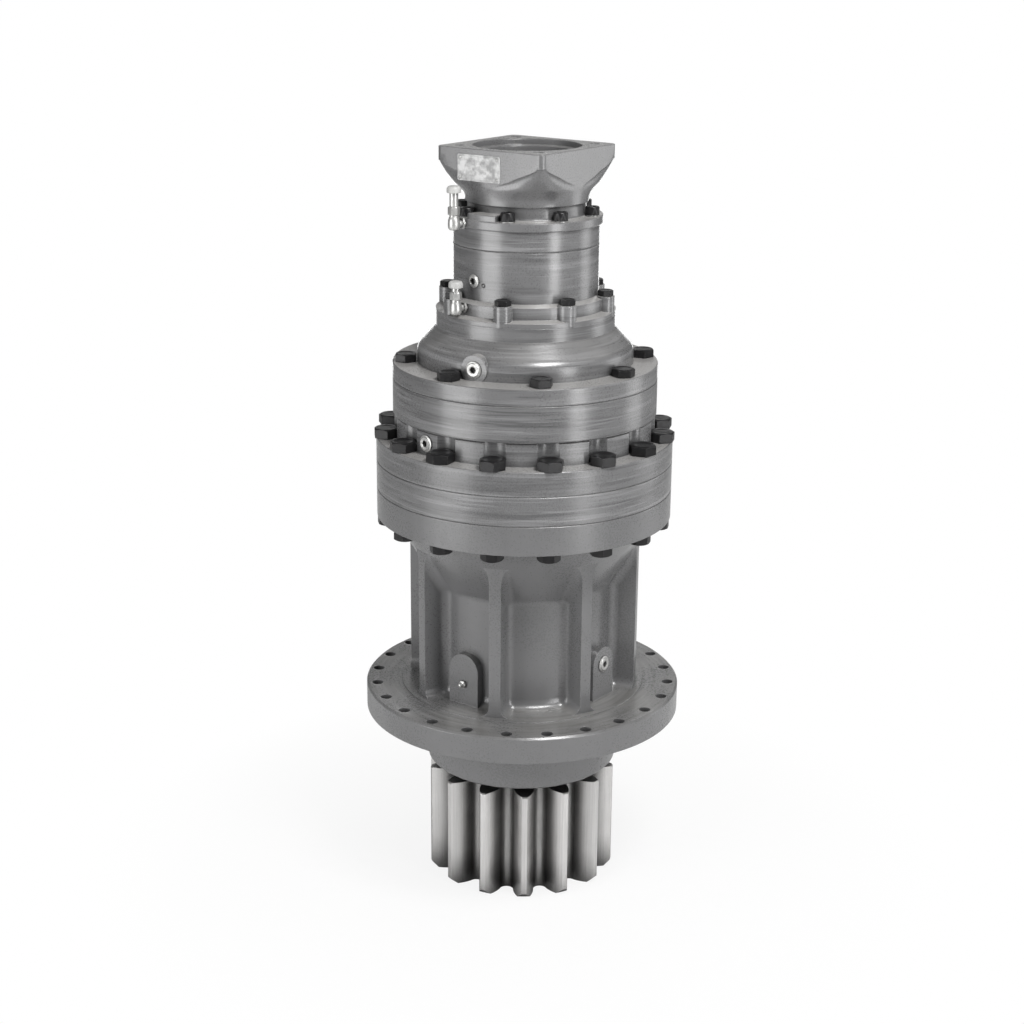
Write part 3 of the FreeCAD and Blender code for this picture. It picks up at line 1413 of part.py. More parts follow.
def input_bearings():
    """Two deep-groove ball bearings and the seal under the motor's socket."""
    middle = (s.input_radius + s.input_bearing_radius) / 2
    ball = s.input_ball_radius
    groove = ball + s.input_groove_gap
    land = ball / 2
    half = (groove * groove - land * land).root()
    outers = Piece("input_bearing_outer_races")
    inners = Piece("input_bearing_inner_races")
    lows = (cover_1_high + s.side_gap_1 + s.input_shoulder, upper_bearing_seat)
    spheres = []
    for index, low in enumerate(lows):
        high = low + s.input_bearing_width
        centre = low + s.input_bearing_width / 2
        outer = s.input_bearing_radius
        outers.turn([
            (middle + land, low), (outer, low), (outer, high), (middle + land, high),
            (middle + land, centre + half, -groove), (middle + land, centre - half),
        ])
        inners.turn([
            (s.input_radius, low), (middle - land, low), (middle - land, centre - half, -groove),
            (middle - land, centre + half), (middle - land, high), (s.input_radius, high),
        ])
        for place in range(int(s.input_ball_count.value)):
            azimuth = 360.0 * place / int(s.input_ball_count.value)
            x, y = polar(middle, azimuth)
            sphere = document.addObject("Part::Sphere", f"ball_{index + 1}_{place + 1}")
            sphere.Radius = ball.value
            sphere.Placement.Base = Vector(x.value, y.value, centre.value)
            bind(sphere, "Radius", ball)
            bind(sphere, "Placement.Base.x", x)
            bind(sphere, "Placement.Base.y", y)
            bind(sphere, "Placement.Base.z", centre)
            spheres.append(sphere)
    outers.keep()
    inners.keep()
    balls = document.addObject("Part::Compound", "input_bearing_balls")
    balls.Links = spheres
    keep(balls, "input_bearing_balls")
    tube("input_seal", s.input_bearing_radius, s.input_radius + s.seal_lip_clearance,
         seal_seat, seal_seat + s.input_seal_width).keep()


def all_screws():
    """Four rows of hexagon bolts and one of socket screws; each row is one group of separate screws."""
    depth = s.ring_rim_3 * s.thread_depth_share - s.hole_gap
    upper = Piece("upper_stack_screws")
    upper.bolts(s.shank_24, s.head_24, upper_circle, adapter_shoulder, rim_3_high - depth,
                s.stack_screw_count, STACK_SCREW_START)
    upper.keep()
    lower = Piece("lower_stack_screws")
    lower.bolts(s.shank_20, s.head_20, lower_circle, rim_low, s.housing_height + depth,
                s.stack_screw_count, STACK_SCREW_START, True)
    lower.keep()
    middle = Piece("mid_stack_screws")
    middle.bolts(s.shank_20, s.head_20, mid_circle, dome_rim_top, adapter_top - s.adapter_neck * 0.75,
                 s.mid_screw_count, MID_SCREW_START)
    middle.keep()
    brake = Piece("brake_housing_screws")
    brake.bolts(s.shank_14, s.head_14, brake_circle, dome_top + s.brake_boss_height,
                dome_top - s.neck_thread_depth + s.hole_gap, s.neck_screw_count, NECK_SCREW_START)
    brake.keep()
    motor = Piece("motor_adapter_screws")
    motor.screws(s.shank_14, s.head_14, motor_circle, motor_flange_top,
                 brake_top - s.neck_thread_depth + s.hole_gap, s.neck_screw_count, NECK_SCREW_START)
    motor.keep()


def level_plugs():
    """Four like plugs: a round head with a hexagon recess, and a stem in the wall."""
    large, small = s.plug_radius, s.small_plug_radius
    port_seat = wall_radius + s.port_boss_reach
    dome_seat = s.dome_foot_radius + s.level_boss_reach
    seats = (
        ("housing", large, HOUSING_PLUG_AZIMUTH, port_seat, s.port_boss_height),
        ("stage", large, STAGE_PLUG_AZIMUTH, neck_radius, (adapter_shoulder + adapter_top) / 2),
        ("dome", large, LEVEL_PLUG_AZIMUTH, dome_seat, dome_rim_top + s.level_boss_height),
        ("brake", small, BRAKE_PLUG_AZIMUTH, s.brake_neck_radius, dome_top + s.brake_plug_height),
    )
    plugs = []
    for name, radius, azimuth, seat, height in seats:
        head = cylinder(f"{name}_plug_head", radius, s.plug_head, azimuth, seat, height)
        stem = cylinder(f"{name}_plug_stem", s.plug_stem_radius, s.plug_stem_length + s.plug_head / 2, azimuth,
                        seat - s.plug_stem_length, height)
        whole = joined(f"{name}_plug_blank", head, [stem])
        key = document.addObject("Part::Prism", f"{name}_plug_key")
        key.Polygon = 6
        key.Circumradius = s.plug_hexagon.value
        key.Height = s.plug_head.value * 2
        bind(key, "Circumradius", s.plug_hexagon)
        bind(key, "Height", s.plug_head * 2)
        key.Placement = head.Placement
        for axis, size in zip("xy", polar(seat + s.thread_gap, azimuth)):
            bind(key, f"Placement.Base.{axis}", size)
        bind(key, "Placement.Base.z", height)
        document.recompute()
        plugs.append(boolean("Part::Cut", f"{name}_plug", whole, key))
    group = document.addObject("Part::Compound", "level_plugs")
    group.Links = plugs
    keep(group, "level_plugs")


def fitting(name, azimuth, seat, height, rise):
    """An elbow: a stub screwed into its port, an upright leg and a protective cap on it."""
    circle = seat + s.fitting_reach + s.fitting_radius / 2
    start = seat - s.fitting_port_depth + s.hole_gap
    stub = cylinder(f"{name}_stub", s.fitting_stub_radius, circle - start, azimuth, start, height)
    low = height - s.fitting_radius
    leg = upright(f"{name}_leg", s.fitting_radius, rise, azimuth, circle, low)
    keep(joined(f"{name}_elbow", leg, [stub]), f"{name}_elbow")
    return upright(f"{name}_cap", s.cap_radius, s.cap_height, azimuth, circle, low + rise)


def fittings():
    """The brake's pressure port and the breather, both capped for shipping."""
    web = s.dome_top_radius - s.brake_web_inset
    caps = document.addObject("Part::Compound", "fitting_caps")
    caps.Links = [
        fitting("release", RELEASE_AZIMUTH, s.motor_flange_radius, cylinder_top + s.release_height,
                s.release_rise),
        fitting("breather", BREATHER_AZIMUTH, web, dome_top + s.breather_height, s.breather_rise),
    ]
    keep(caps, "fitting_caps")


def build():
    output_housing()
    output_bearings()
    pinion_shaft()
    output_stage()
    middle_stage()
    first_stage()
    ring_gears()
    stage_adapter()
    dome_cover()
    brake_housing()
    brake_cylinder()
    brake_discs()
    brake_piston()
    motor_adapter()
    input_shaft()
    input_bearings()
    all_screws()
    level_plugs()
    fittings()


def check_and_write():
    """Every object has to be sound before any file is written."""
    document.recompute()
    for item in document.Objects:
        if "Invalid" in item.State or "Error" in item.State:
            raise ValueError(f"{item.Name} is not sound: {item.State}")
    for name, item in nodes.items():
        if item.Shape.isNull() or not item.Shape.isValid() or not item.Shape.Solids:
            raise ValueError(f"{name} has no valid solid")
    os.makedirs("parts", exist_ok=True)
    for name, item in nodes.items():
        item.Shape.exportStep(f"parts/{name}.step")
        box = item.Shape.BoundBox
        print(f"{name:28s} {len(item.Shape.Solids):3d} solids {item.Shape.Volume / 1000:10.1f} cm3"
              f"  z {box.ZMin:8.2f} to {box.ZMax:8.2f}  r {box.XMax:7.2f}")


build()
check_and_write()
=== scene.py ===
"""Looks of an upright planetary slewing gearbox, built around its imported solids.

The gearbox's axis is the row's Z axis, the mounting flange's underside lies at zero, and every size is in metres.
"""

import json
import logging
import math
from collections.abc import Callable
from dataclasses import dataclass, field, replace
from enum import Enum

import bmesh
import bpy
from mathutils import Matrix, Vector


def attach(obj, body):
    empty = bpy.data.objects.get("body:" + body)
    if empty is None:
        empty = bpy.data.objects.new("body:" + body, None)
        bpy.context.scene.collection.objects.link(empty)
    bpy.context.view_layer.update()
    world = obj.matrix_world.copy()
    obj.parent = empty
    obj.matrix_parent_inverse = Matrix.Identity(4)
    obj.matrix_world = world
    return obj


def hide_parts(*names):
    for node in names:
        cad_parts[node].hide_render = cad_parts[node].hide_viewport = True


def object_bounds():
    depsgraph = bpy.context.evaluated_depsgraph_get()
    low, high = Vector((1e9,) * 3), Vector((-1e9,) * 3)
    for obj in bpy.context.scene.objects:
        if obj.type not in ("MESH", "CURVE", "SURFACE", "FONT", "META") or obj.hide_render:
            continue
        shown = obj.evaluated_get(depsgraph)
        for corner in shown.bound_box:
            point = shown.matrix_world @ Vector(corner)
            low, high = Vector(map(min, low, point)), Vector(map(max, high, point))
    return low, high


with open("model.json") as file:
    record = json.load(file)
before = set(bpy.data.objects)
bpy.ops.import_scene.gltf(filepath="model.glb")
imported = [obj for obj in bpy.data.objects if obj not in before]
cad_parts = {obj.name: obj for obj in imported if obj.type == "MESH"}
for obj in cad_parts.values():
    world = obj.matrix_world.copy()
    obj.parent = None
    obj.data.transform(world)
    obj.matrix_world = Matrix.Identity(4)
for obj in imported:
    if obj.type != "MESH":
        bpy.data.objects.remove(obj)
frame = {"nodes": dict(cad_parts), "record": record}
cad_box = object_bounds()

log = logging.getLogger("slewing_gearbox")

MM = 0.001
HOUSING_BODY = "housing"
SIDES = 72
SHARP_EDGE = math.radians(32.0)
HERE = Matrix.Identity(4)
Point = tuple[float, float, float]
Colour = tuple[float, float, float]
Table = tuple[tuple[float, float], ...]
Ring = list[Point]
Socket = bpy.types.NodeSocket


class Slot(Enum):
    """The finishes of the gearbox, by the record's slot names."""

    CAST_PAINT = "cast_paint"
    RING_PAINT = "ring_paint"
    GEAR_STEEL = "gear_steel"
    PINION_STEEL = "pinion_steel"
    BEARING_STEEL = "bearing_steel"
    BUSH_BRONZE = "bush_bronze"
    SCREW_BLACK = "screw_black"
    ZINC = "zinc"
    CAP_PLASTIC = "cap_plastic"
    SEAL_RUBBER = "seal_rubber"
    DISC_STEEL = "disc_steel"
    LINING = "lining"
    SPRING_STEEL = "spring_steel"


class Facing(Enum):
    """Which way a row of screws points with its heads."""

    UP = 1
    DOWN = -1


def tinted(colour: Colour, factor: float) -> Colour:
    """The colour made darker or paler, at most white."""
    return tuple(min(1.0, part * factor) for part in colour)


def shown(name: str, data: bpy.types.ID) -> bpy.types.Object:
    """Puts data into the scene.

    Args:
        name: The new object's name.
        data: Its mesh, lamp or camera.

    Returns:
        The new object.
    """
    thing = bpy.data.objects.new(name, data)
    bpy.context.scene.collection.objects.link(thing)
    return thing


class Recipe:
    """One material's node tree, added to step by step, and its base colour under the coats laid so far."""

    def __init__(self, name: str, base: Colour = (1.0, 1.0, 1.0)) -> None:
        """Starts a material with a single surface shader.

        Args:
            name: The material's name.
            base: The colour under every coat.
        """
        self.material = bpy.data.materials.new(name)
        self.material.use_nodes = True
        self.nodes = self.material.node_tree.nodes
        self.links = self.material.node_tree.links
        self.shader = self.nodes["Principled BSDF"]
        self.place = self.add("ShaderNodeTexCoord").outputs["Object"]
        self.normal = self.add("ShaderNodeNewGeometry").outputs["Normal"]
        self.body = base

    def add(self, kind: str, inputs: dict[str | int, object] | None = None, **settings: object) -> bpy.types.Node:
        """Adds one node.

        Args:
            kind: The node's type name.
            inputs: What goes into its sockets, by their names or numbers.
            **settings: Properties of the node to set.

        Returns:
            The new node.
        """
        node = self.nodes.new(kind)
        for key, value in settings.items():
            setattr(node, key, value)
        for key, value in (inputs or {}).items():
            self.feed(node.inputs[key], value)
        return node

    def feed(self, socket: Socket, value: object) -> None:
        """Links an output to a socket, or sets a plain value on it.

        Args:
            socket: The input socket.
            value: An output socket, a number or a colour.
        """
        if isinstance(value, Socket):
            self.links.new(value, socket)
        elif isinstance(value, tuple) and len(value) == 3 and socket.type == "RGBA":
            socket.default_value = (*value, 1.0)
        else:
            socket.default_value = value

    def scaled(self, stretch: Point) -> Socket:
        """Object coordinates, stretched by a factor for each axis."""
        return self.add("ShaderNodeMapping", {"Vector": self.place, "Scale": stretch}).outputs["Vector"]

    def part(self, vector: Socket, axis: str) -> Socket:
        """One coordinate of a vector, by its axis's name."""
        return self.add("ShaderNodeSeparateXYZ", {0: vector}).outputs[axis]

    def length(self, vector: Socket) -> Socket:
        """How long a vector is."""
        return self.add("ShaderNodeVectorMath", {0: vector}, operation="LENGTH").outputs["Value"]

    def faced(self, across: float, along: float) -> Socket:
        """Coordinates in which marks run round the gearbox's axis, as facing on a lathe leaves them.

        Args:
            across: Marks per metre of radius.
            along: Changes per metre along a mark.

        Returns:
            The coordinates.
        """
        flat = self.add("ShaderNodeVectorMath", {0: self.place, 1: (1.0, 1.0, 0.0)}, operation="MULTIPLY").outputs[0]
        x, y = (self.times(self.part(self.place, axis), along) for axis in "XY")
        return self.add("ShaderNodeCombineXYZ", {0: self.times(self.length(flat), across), 1: x, 2: y}).outputs[0]

    def noise(self, scale: float, detail: float = 3.0, rough: float = 0.55, where: Socket | None = None) -> Socket:
        """Cloudy noise between zero and one, by grains per metre, octaves, the finer ones' share and coordinates."""
        return self.add("ShaderNodeTexNoise", {"Vector": where or self.place, "Scale": scale, "Detail": detail,
                                               "Roughness": rough}).outputs["Fac"]

    def ranged(self, value: Socket, low: float, high: float, out_low: float = 0.0, out_high: float = 1.0) -> Socket:
        """Maps a value from one range to another, clamped."""
        return self.add("ShaderNodeMapRange", {"Value": value, "From Min": low, "From Max": high, "To Min": out_low,
                                               "To Max": out_high}).outputs["Result"]

    def sum(self, first: object, second: object, operation: str = "ADD") -> Socket:
        """Joins two values or numbers by the Math node's operation."""
        return self.add("ShaderNodeMath", {0: first, 1: second}, operation=operation).outputs[0]

    def times(self, first: object, second: object) -> Socket:
        """The product of two values or numbers."""
        return self.sum(first, second, "MULTIPLY")

    def coat(self, share: object, colour: object) -> None:
        """Lays a coat over the base colour, by its share."""
        self.body = self.add("ShaderNodeMix", {0: share, 6: self.body, 7: colour}, data_type="RGBA").outputs[2]

    def bump(self, height: Socket, depth: float, share: float, under: Socket) -> Socket:
        """Adds a relief to the normal under it, by a height from zero to one, its depth and its strength."""
        relief = {"Height": height, "Distance": depth, "Strength": share, "Normal": under}
        return self.add("ShaderNodeBump", relief).outputs["Normal"]

    def rounded(self, radius: float) -> Socket:
        """A normal that runs smoothly round every edge."""
        return self.add("ShaderNodeBevel", {"Radius": radius}, samples=4).outputs["Normal"]

    def edges(self, soft: Socket, reach: float) -> Socket:
        """One along edges, where a rounded normal turns by the reach or more, and zero on flat faces."""
        dot = self.add("ShaderNodeVectorMath", {0: soft, 1: self.normal}, operation="DOT_PRODUCT")
        return self.ranged(dot.outputs["Value"], 1.0, 1.0 - reach)

    def hollows(self, distance: float) -> Socket:
        """One in corners and recesses with walls within the distance, and zero on open faces."""
        near = self.add("ShaderNodeAmbientOcclusion", {"Distance": distance}, samples=6)
        return self.ranged(near.outputs["AO"], 0.85, 0.35)

    def upward(self, low: float, high: float) -> Socket:
        """How much a face looks up, from zero at the low height of its normal to one at the high one."""
        return self.ranged(self.part(self.normal, "Z"), low, high)

    def surface(self, **values: object) -> bpy.types.Material:
        """Sets the surface shader's inputs, with underscores for spaces, and the coated base colour.

        Args:
            **values: Sockets of the surface shader.

        Returns:
            The finished material.
        """
        for key, value in {"Base_Color": self.body, **values}.items():
            self.feed(self.shader.inputs[key.replace("_", " ")], value)
        return self.material


@dataclass(frozen=True)
class MachinePaint:
    """Grey machine paint over cast iron or turned steel."""

    name: str
    shade: Colour
    worn: Colour
    grain: float
    grain_depth: float
    turned: float
    gloss: float = 0.27

    def make(self) -> bpy.types.Material:
        """Builds the paint: cloudy colour, sand-cast or turned relief, painted shade in recesses, dust and painted
        light on upward faces, painted light on level shelves and rubbed edges.

        Returns:
            The material.
        """
        dark, pale, cut, bared = (tinted(self.shade, factor) for factor in (0.74, 1.3, 0.5, 1.75))
        r = Recipe(self.name, dark)
        cloud = r.ranged(r.noise(9.0, 5.0, 0.6), 0.35, 0.68)
        fine = r.noise(self.grain, 4.0, 0.6)
        r.coat(r.ranged(cloud, 0.0, 1.0, 0.2, 0.8), pale)
        r.coat(0.62, self.shade)
        r.coat(r.ranged(r.noise(900.0, 2.0, 0.5), 0.3, 0.75, 0.0, 0.1), pale)
        streaks = r.noise(1.0, 4.0, 0.6, r.scaled((38.0, 38.0, 5.0)))
        r.coat(r.ranged(streaks, 0.55, 0.8, 0.0, 0.3), dark)
        rings = r.noise(1.0, 3.0, 0.7, r.scaled((4.0, 4.0, 95.0)))
        scores = r.noise(1.0, 2.0, 0.5, r.scaled((8.0, 8.0, 300.0)))
        for marks, deep, high, share in ((rings, 0.54, 0.46, 0.6), (scores, 0.6, 0.4, 0.75)):
            r.coat(r.ranged(marks, deep, deep + 0.08, 0.0, share * self.turned), cut)
            r.coat(r.ranged(marks, high, high - 0.08, 0.0, share * 0.85 * self.turned), bared)
        # Painted shade: corners and recesses darkened towards a third of the paint's shade.
        r.coat(r.times(r.hollows(0.018), 0.6), tinted(self.shade, 0.3))
        level = r.upward(0.9, 0.99)
        swept = r.noise(1.0, 3.0, 0.65, r.faced(130.0, 9.0))
        r.coat(r.times(r.ranged(swept, 0.52, 0.62, 0.0, 0.7), level), cut)
        r.coat(r.times(r.ranged(swept, 0.47, 0.38, 0.0, 0.6), level), bared)
        # Dust and painted light: upward faces made paler in cloudy patches.
        r.coat(r.times(r.upward(0.5, 0.95), r.ranged(cloud, 0.2, 0.9, 0.08, 0.34)), (0.3, 0.29, 0.27))
        # Painted light: level faces between about 0.3 m and 0.8 m high made paler.
        height = r.part(r.place, "Z")
        shelf_light = r.times(r.ranged(height, 0.3, 0.42, 0.0, 0.7), r.ranged(height, 0.79, 0.82, 1.0, 0.2))
        r.coat(r.times(r.upward(0.8, 0.98), shelf_light), (0.4, 0.39, 0.38))
        soft = r.rounded(1.6 * MM)
        rub = r.times(r.edges(soft, 0.16), r.ranged(r.noise(120.0, 3.0), 0.35, 0.62, 0.15, 1.0))
        r.coat(r.times(rub, 0.55), self.worn)
        relief = r.bump(fine, self.grain_depth, 0.7, soft)
        relief = r.bump(r.noise(26.0, 2.0), 0.9 * MM, 0.35 * (1.0 - 0.6 * self.turned), relief)
        relief = r.bump(rings, 0.3 * MM, 0.9 * self.turned, relief)
        rough = r.sum(r.ranged(fine, 0.3, 0.7, self.gloss - 0.04, self.gloss + 0.1),
                      r.ranged(cloud, 0.0, 1.0, -0.03, 0.05))
        return r.surface(Roughness=rough, Normal=relief, Specular_IOR_Level=0.6, Coat_Weight=0.5, Coat_Roughness=0.2,
                         Coat_Normal=r.bump(fine, self.grain_depth, 0.3, soft))


@dataclass(frozen=True)
class CutSteel:
    """Bare machined steel with the marks of its cutting."""

    name: str
    shade: Colour
    marks: Point
    mark_depth: float
    roughness: float
    oil: float
    gap_shade_reach: float = 0.015
    gap_shade_share: float = 0.55

    def make(self) -> bpy.types.Material:
        """Builds the steel: cutting marks, oil film, painted shade in its gaps and a thin bright edge.

        Returns:
            The material.
        """
        r = Recipe(self.name, self.shade)
        lines = r.noise(1.0, 4.0, 0.65, r.scaled(self.marks))
        film = r.ranged(r.noise(22.0, 4.0, 0.6), 0.38, 0.66)
        soft = r.rounded(0.8 * MM)
        r.coat(r.ranged(lines, 0.35, 0.7, 0.0, 0.35), tinted(self.shade, 0.55))
        r.coat(r.times(film, self.oil), tinted(self.shade, 0.6))
        # Painted shade: gaps and recesses darkened almost to black.
        r.coat(r.times(r.hollows(self.gap_shade_reach), self.gap_shade_share), tinted(self.shade, 0.08))
        r.coat(r.times(r.edges(soft, 0.2), 0.5), tinted(self.shade, 1.25))
        relief = r.bump(lines, self.mark_depth, 0.6, soft)
        rough = r.sum(r.ranged(lines, 0.3, 0.7, self.roughness - 0.06, self.roughness + 0.08),
                      r.ranged(film, 0.0, 1.0, 0.05, -0.08))
        return r.surface(Metallic=1.0, Roughness=rough, Normal=relief)


@dataclass(frozen=True)
class Coating:
    """A plated, blackened or moulded finish with patches, a fine grain, rubbed edges and painted shade in its
    corners.

    Patches are given by grains per metre, share of finer grains, and the noise values where they start and are full;
    grain by grains per metre, octaves, depth and strength.
    """

    name: str
    shade: Colour
    patch_shade: Colour
    patches: tuple[float, float, float, float]
    patch_share: float
    grain: tuple[float, float, float, float]
    rounding: float
    roughness: tuple[float, float]
    metallic: float = 0.0
    specular: float = 0.5
    rubbed: float = 0.0
    hollow_shade: float = 0.0

    def make(self) -> bpy.types.Material:
        """Builds the coating.

        Returns:
            The material.
        """
        r = Recipe(self.name, self.shade)
        soft = r.rounded(self.rounding)
        scale, finer, low, high = self.patches
        patch = r.ranged(r.noise(scale, 4.0, finer), low, high)
        r.coat(r.times(patch, self.patch_share), self.patch_shade)
        if self.rubbed:
            rub = r.times(r.edges(soft, 0.2), r.ranged(r.noise(420.0, 2.0), 0.45, 0.62))
            r.coat(r.times(rub, self.rubbed), (0.28, 0.28, 0.28))
        # Painted shade: corners and recesses darkened almost to black.
        if self.hollow_shade:
            r.coat(r.times(r.hollows(0.008), self.hollow_shade), (0.03, 0.03, 0.03))
        scale, octaves, depth, strength = self.grain
        relief = r.bump(r.noise(scale, octaves), depth, strength, soft)
        return r.surface(Metallic=self.metallic, Specular_IOR_Level=self.specular, Normal=relief,
                         Roughness=r.ranged(patch, 0.0, 1.0, *self.roughness))


def moulded(name: str, shade: Colour, roughness: float, grain: float) -> Coating:
    """A dull moulded or sintered finish, with its grain in grains per metre."""
    return Coating(name, shade, tinted(shade, 0.6), (70.0, 0.55, 0.35, 0.7), 0.35, (grain, 3.0, 0.1 * MM, 0.5),
                   0.5 * MM, (roughness - 0.05, roughness + 0.08))


@dataclass(frozen=True)
class WornPlate:
    """Thin brushed aluminium of the bare plate, stained and scratched."""

    name: str = "worn_plate"
    shade: Colour = (0.48, 0.48, 0.48)

    def make(self) -> bpy.types.Material:
        """Builds the plate's brushing, stains and scratches.

        Returns:
            The material.
        """
        r = Recipe(self.name, self.shade)
        brushed = r.noise(1.0, 4.0, 0.7, r.scaled((22.0, 22.0, 1500.0)))
        stain = r.ranged(r.noise(75.0, 4.0, 0.65), 0.42, 0.6)
        r.coat(r.ranged(brushed, 0.35, 0.65, 0.0, 0.4), (0.58, 0.58, 0.57))
        r.coat(r.times(stain, 0.55), (0.2, 0.2, 0.2))
        relief = r.bump(brushed, 0.04 * MM, 0.5, r.rounded(0.3 * MM))
        return r.surface(Metallic=0.55, Roughness=r.ranged(stain, 0.0, 1.0, 0.5, 0.68), Normal=relief)


@dataclass(frozen=True)
class StudioWhite:
    """The pale floor, white to the camera but for the shadow on it."""

    name: str = "studio_white"
    near: float = 0.16
    off: float = 0.75
    close_share: float = 0.82

    def make(self) -> bpy.types.Material:
        """Builds the floor's finish.

        Returns:
            The material.
        """
        r = Recipe(self.name)
        grain = r.ranged(r.noise(40.0, 3.0), 0.3, 0.7, 0.86, 0.9)
        r.body = r.add("ShaderNodeCombineColor", {0: grain, 1: grain, 2: grain}).outputs[0]
        r.surface(Roughness=0.9, Specular_IOR_Level=0.1)
        seen = r.add("ShaderNodeLightPath").outputs["Is Camera Ray"]
        white = r.ranged(r.length(r.place), self.near, self.off, self.close_share, 1.0)
        glow = r.add("ShaderNodeEmission").outputs[0]
        blend = r.add("ShaderNodeMixShader", {0: r.times(seen, white), 1: r.shader.outputs[0], 2: glow})
        r.feed(r.nodes["Material Output"].inputs["Surface"], blend.outputs[0])
        return r.material


@dataclass
class PaintShop:
    """Keeps one material for each slot."""

    finishes: dict[Slot, object] = field(default_factory=lambda: {
        Slot.CAST_PAINT: MachinePaint("cast_paint", (0.132, 0.132, 0.134), (0.3, 0.3, 0.3), 380.0, 0.14 * MM, 0.0),
        Slot.RING_PAINT: MachinePaint("ring_paint", (0.136, 0.136, 0.138), (0.32, 0.32, 0.32), 620.0, 0.1 * MM, 1.0),
        Slot.GEAR_STEEL: CutSteel("gear_steel", (0.42, 0.41, 0.4), (900.0, 900.0, 60.0), 0.08 * MM, 0.36, 0.6),
        # The pinion steel gets strong painted shade in its tooth gaps.
        Slot.PINION_STEEL: CutSteel("pinion_steel", (0.74, 0.73, 0.72), (420.0, 420.0, 7.0), 0.08 * MM, 0.4, 0.2,
                                    0.06, 0.92),
        Slot.BEARING_STEEL: CutSteel("bearing_steel", (0.66, 0.66, 0.65), (60.0, 60.0, 1400.0), 0.02 * MM, 0.16, 0.3),
        Slot.BUSH_BRONZE: CutSteel("bush_bronze", (0.55, 0.36, 0.18), (60.0, 60.0, 900.0), 0.04 * MM, 0.32, 0.4),
        Slot.SCREW_BLACK: Coating(
            "black_oxide", (0.011, 0.011, 0.012), (0.022, 0.02, 0.019), (260.0, 0.55, 0.4, 0.7), 0.5,
            (1600.0, 3.0, 0.08 * MM, 0.5), 0.5 * MM, (0.28, 0.42), 0.2, 0.35, rubbed=0.6),
        # The zinc gets painted shade in its corners and recesses.
        Slot.ZINC: Coating(
            "zinc_plate", (0.56, 0.56, 0.55), (0.42, 0.41, 0.39), (60.0, 0.6, 0.35, 0.7), 0.35,
            (1500.0, 2.0, 0.05 * MM, 0.4), 0.4 * MM, (0.34, 0.5), 0.8, hollow_shade=0.9),
        Slot.CAP_PLASTIC: moulded("cap_plastic", (0.46, 0.46, 0.45), 0.42, 900.0),
        Slot.SEAL_RUBBER: moulded("seal_rubber", (0.025, 0.025, 0.025), 0.6, 1400.0),
        Slot.DISC_STEEL: CutSteel("disc_steel", (0.5, 0.5, 0.5), (240.0, 240.0, 240.0), 0.04 * MM, 0.3, 0.2),
        Slot.LINING: moulded("lining", (0.22, 0.14, 0.08), 0.7, 700.0),
        Slot.SPRING_STEEL: CutSteel("spring_steel", (0.3, 0.3, 0.31), (60.0, 60.0, 600.0), 0.05 * MM, 0.38, 0.5),
    })
    turned_castings: tuple[str, ...] = ("stage_adapter", "dome_cover", "brake_housing")
    made: dict[Slot, bpy.types.Material] = field(default_factory=dict)

    def material(self, slot: Slot) -> bpy.types.Material:
        """The slot's material, made on first use.

        Args:
            slot: The finish asked for.

        Returns:
            The material.
        """
        if slot not in self.made:
            self.made[slot] = self.finishes[slot].make()
        return self.made[slot]

    def dress_castings(self) -> None:
        """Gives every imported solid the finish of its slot, and the turned castings the marks of the lathe too."""
        turned = replace(self.finishes[Slot.CAST_PAINT], name="turned_cast_paint", turned=0.8).make()
        for entry in frame["record"]["subparts"]:
            solid = frame["nodes"][entry["node"]]
            solid.data.materials.clear()
            solid.data.materials.append(
                turned if entry["node"] in self.turned_castings else self.material(Slot(entry["material_slot"])))
            log.info("dressed %s", entry["node"])


def circle(radius: float, height: float, count: int = SIDES) -> Ring:
    """Points of a level circle, anticlockwise from above."""
    steps = (2 * math.pi * index / count for index in range(count))
    return [(radius * math.cos(a), radius * math.sin(a), height) for a in steps]


def stacked(*sizes: tuple[float, float], count: int = SIDES) -> list[Ring]:
    """Level circles over one another, each given by its radius and height."""
    return [circle(radius, height, count) for radius, height in sizes]


def knurled(radius: float, height: float, groove: float) -> Ring:
    """Points of a circle with every second one sunk, as a straight knurl has.

    Args:
        radius: Radius over the ridges.
        height: Height of the ring.
        groove: Depth of the grooves.

    Returns:
        The points.
    """
    ring = circle(radius, height)
    share = (radius - groove) / radius
    return [(x * share, y * share, z) if index % 2 else (x, y, z) for index, (x, y, z) in enumerate(ring)]


def hexagon(flat: float, height: float) -> Ring:
    """Points round a level hexagon.

    Args:
        flat: Distance from the middle to a flat.
        height: Height of the ring.

    Returns:
        The points, as many as a circle has.
    """
    ring = []
    for index in range(SIDES):
        angle = 2 * math.pi * index / SIDES
        within = (angle + math.pi / 6) % (math.pi / 3) - math.pi / 6
        reach = flat / math.cos(within)
        ring.append((reach * math.cos(angle), reach * math.sin(angle), height))
    return ring


def bevelled(flat: float, rim: float, height: float) -> Ring:
    """Points where a turned bevel, from the rim of the top face on, meets the sides of a hexagon head."""
    slope = math.tan(math.radians(30.0))
    return [(x, y, z - (math.hypot(x, y) - rim) * slope) for x, y, z in hexagon(flat, height)]


def upright(azimuth: float, radius: float, height: float) -> Matrix:
    """Places a piece upright on a circle round the gearbox's axis."""
    turn = Matrix.Rotation(math.radians(azimuth), 4, "Z")
    return turn @ Matrix.Translation((radius, 0.0, height))


def outward(azimuth: float, radius: float, height: float) -> Matrix:
    """Places a piece on a wall, its own Z axis pointing away from the gearbox's axis."""
    return upright(azimuth, radius, height) @ Matrix.Rotation(math.pi / 2, 4, "Y")


def spaced(count: int, start: float, radius: float, height: float) -> list[Matrix]:
    """Upright places, evenly round the gearbox's axis from a start angle in degrees."""
    return [upright(start + 360.0 * index / count, radius, height) for index in range(count)]


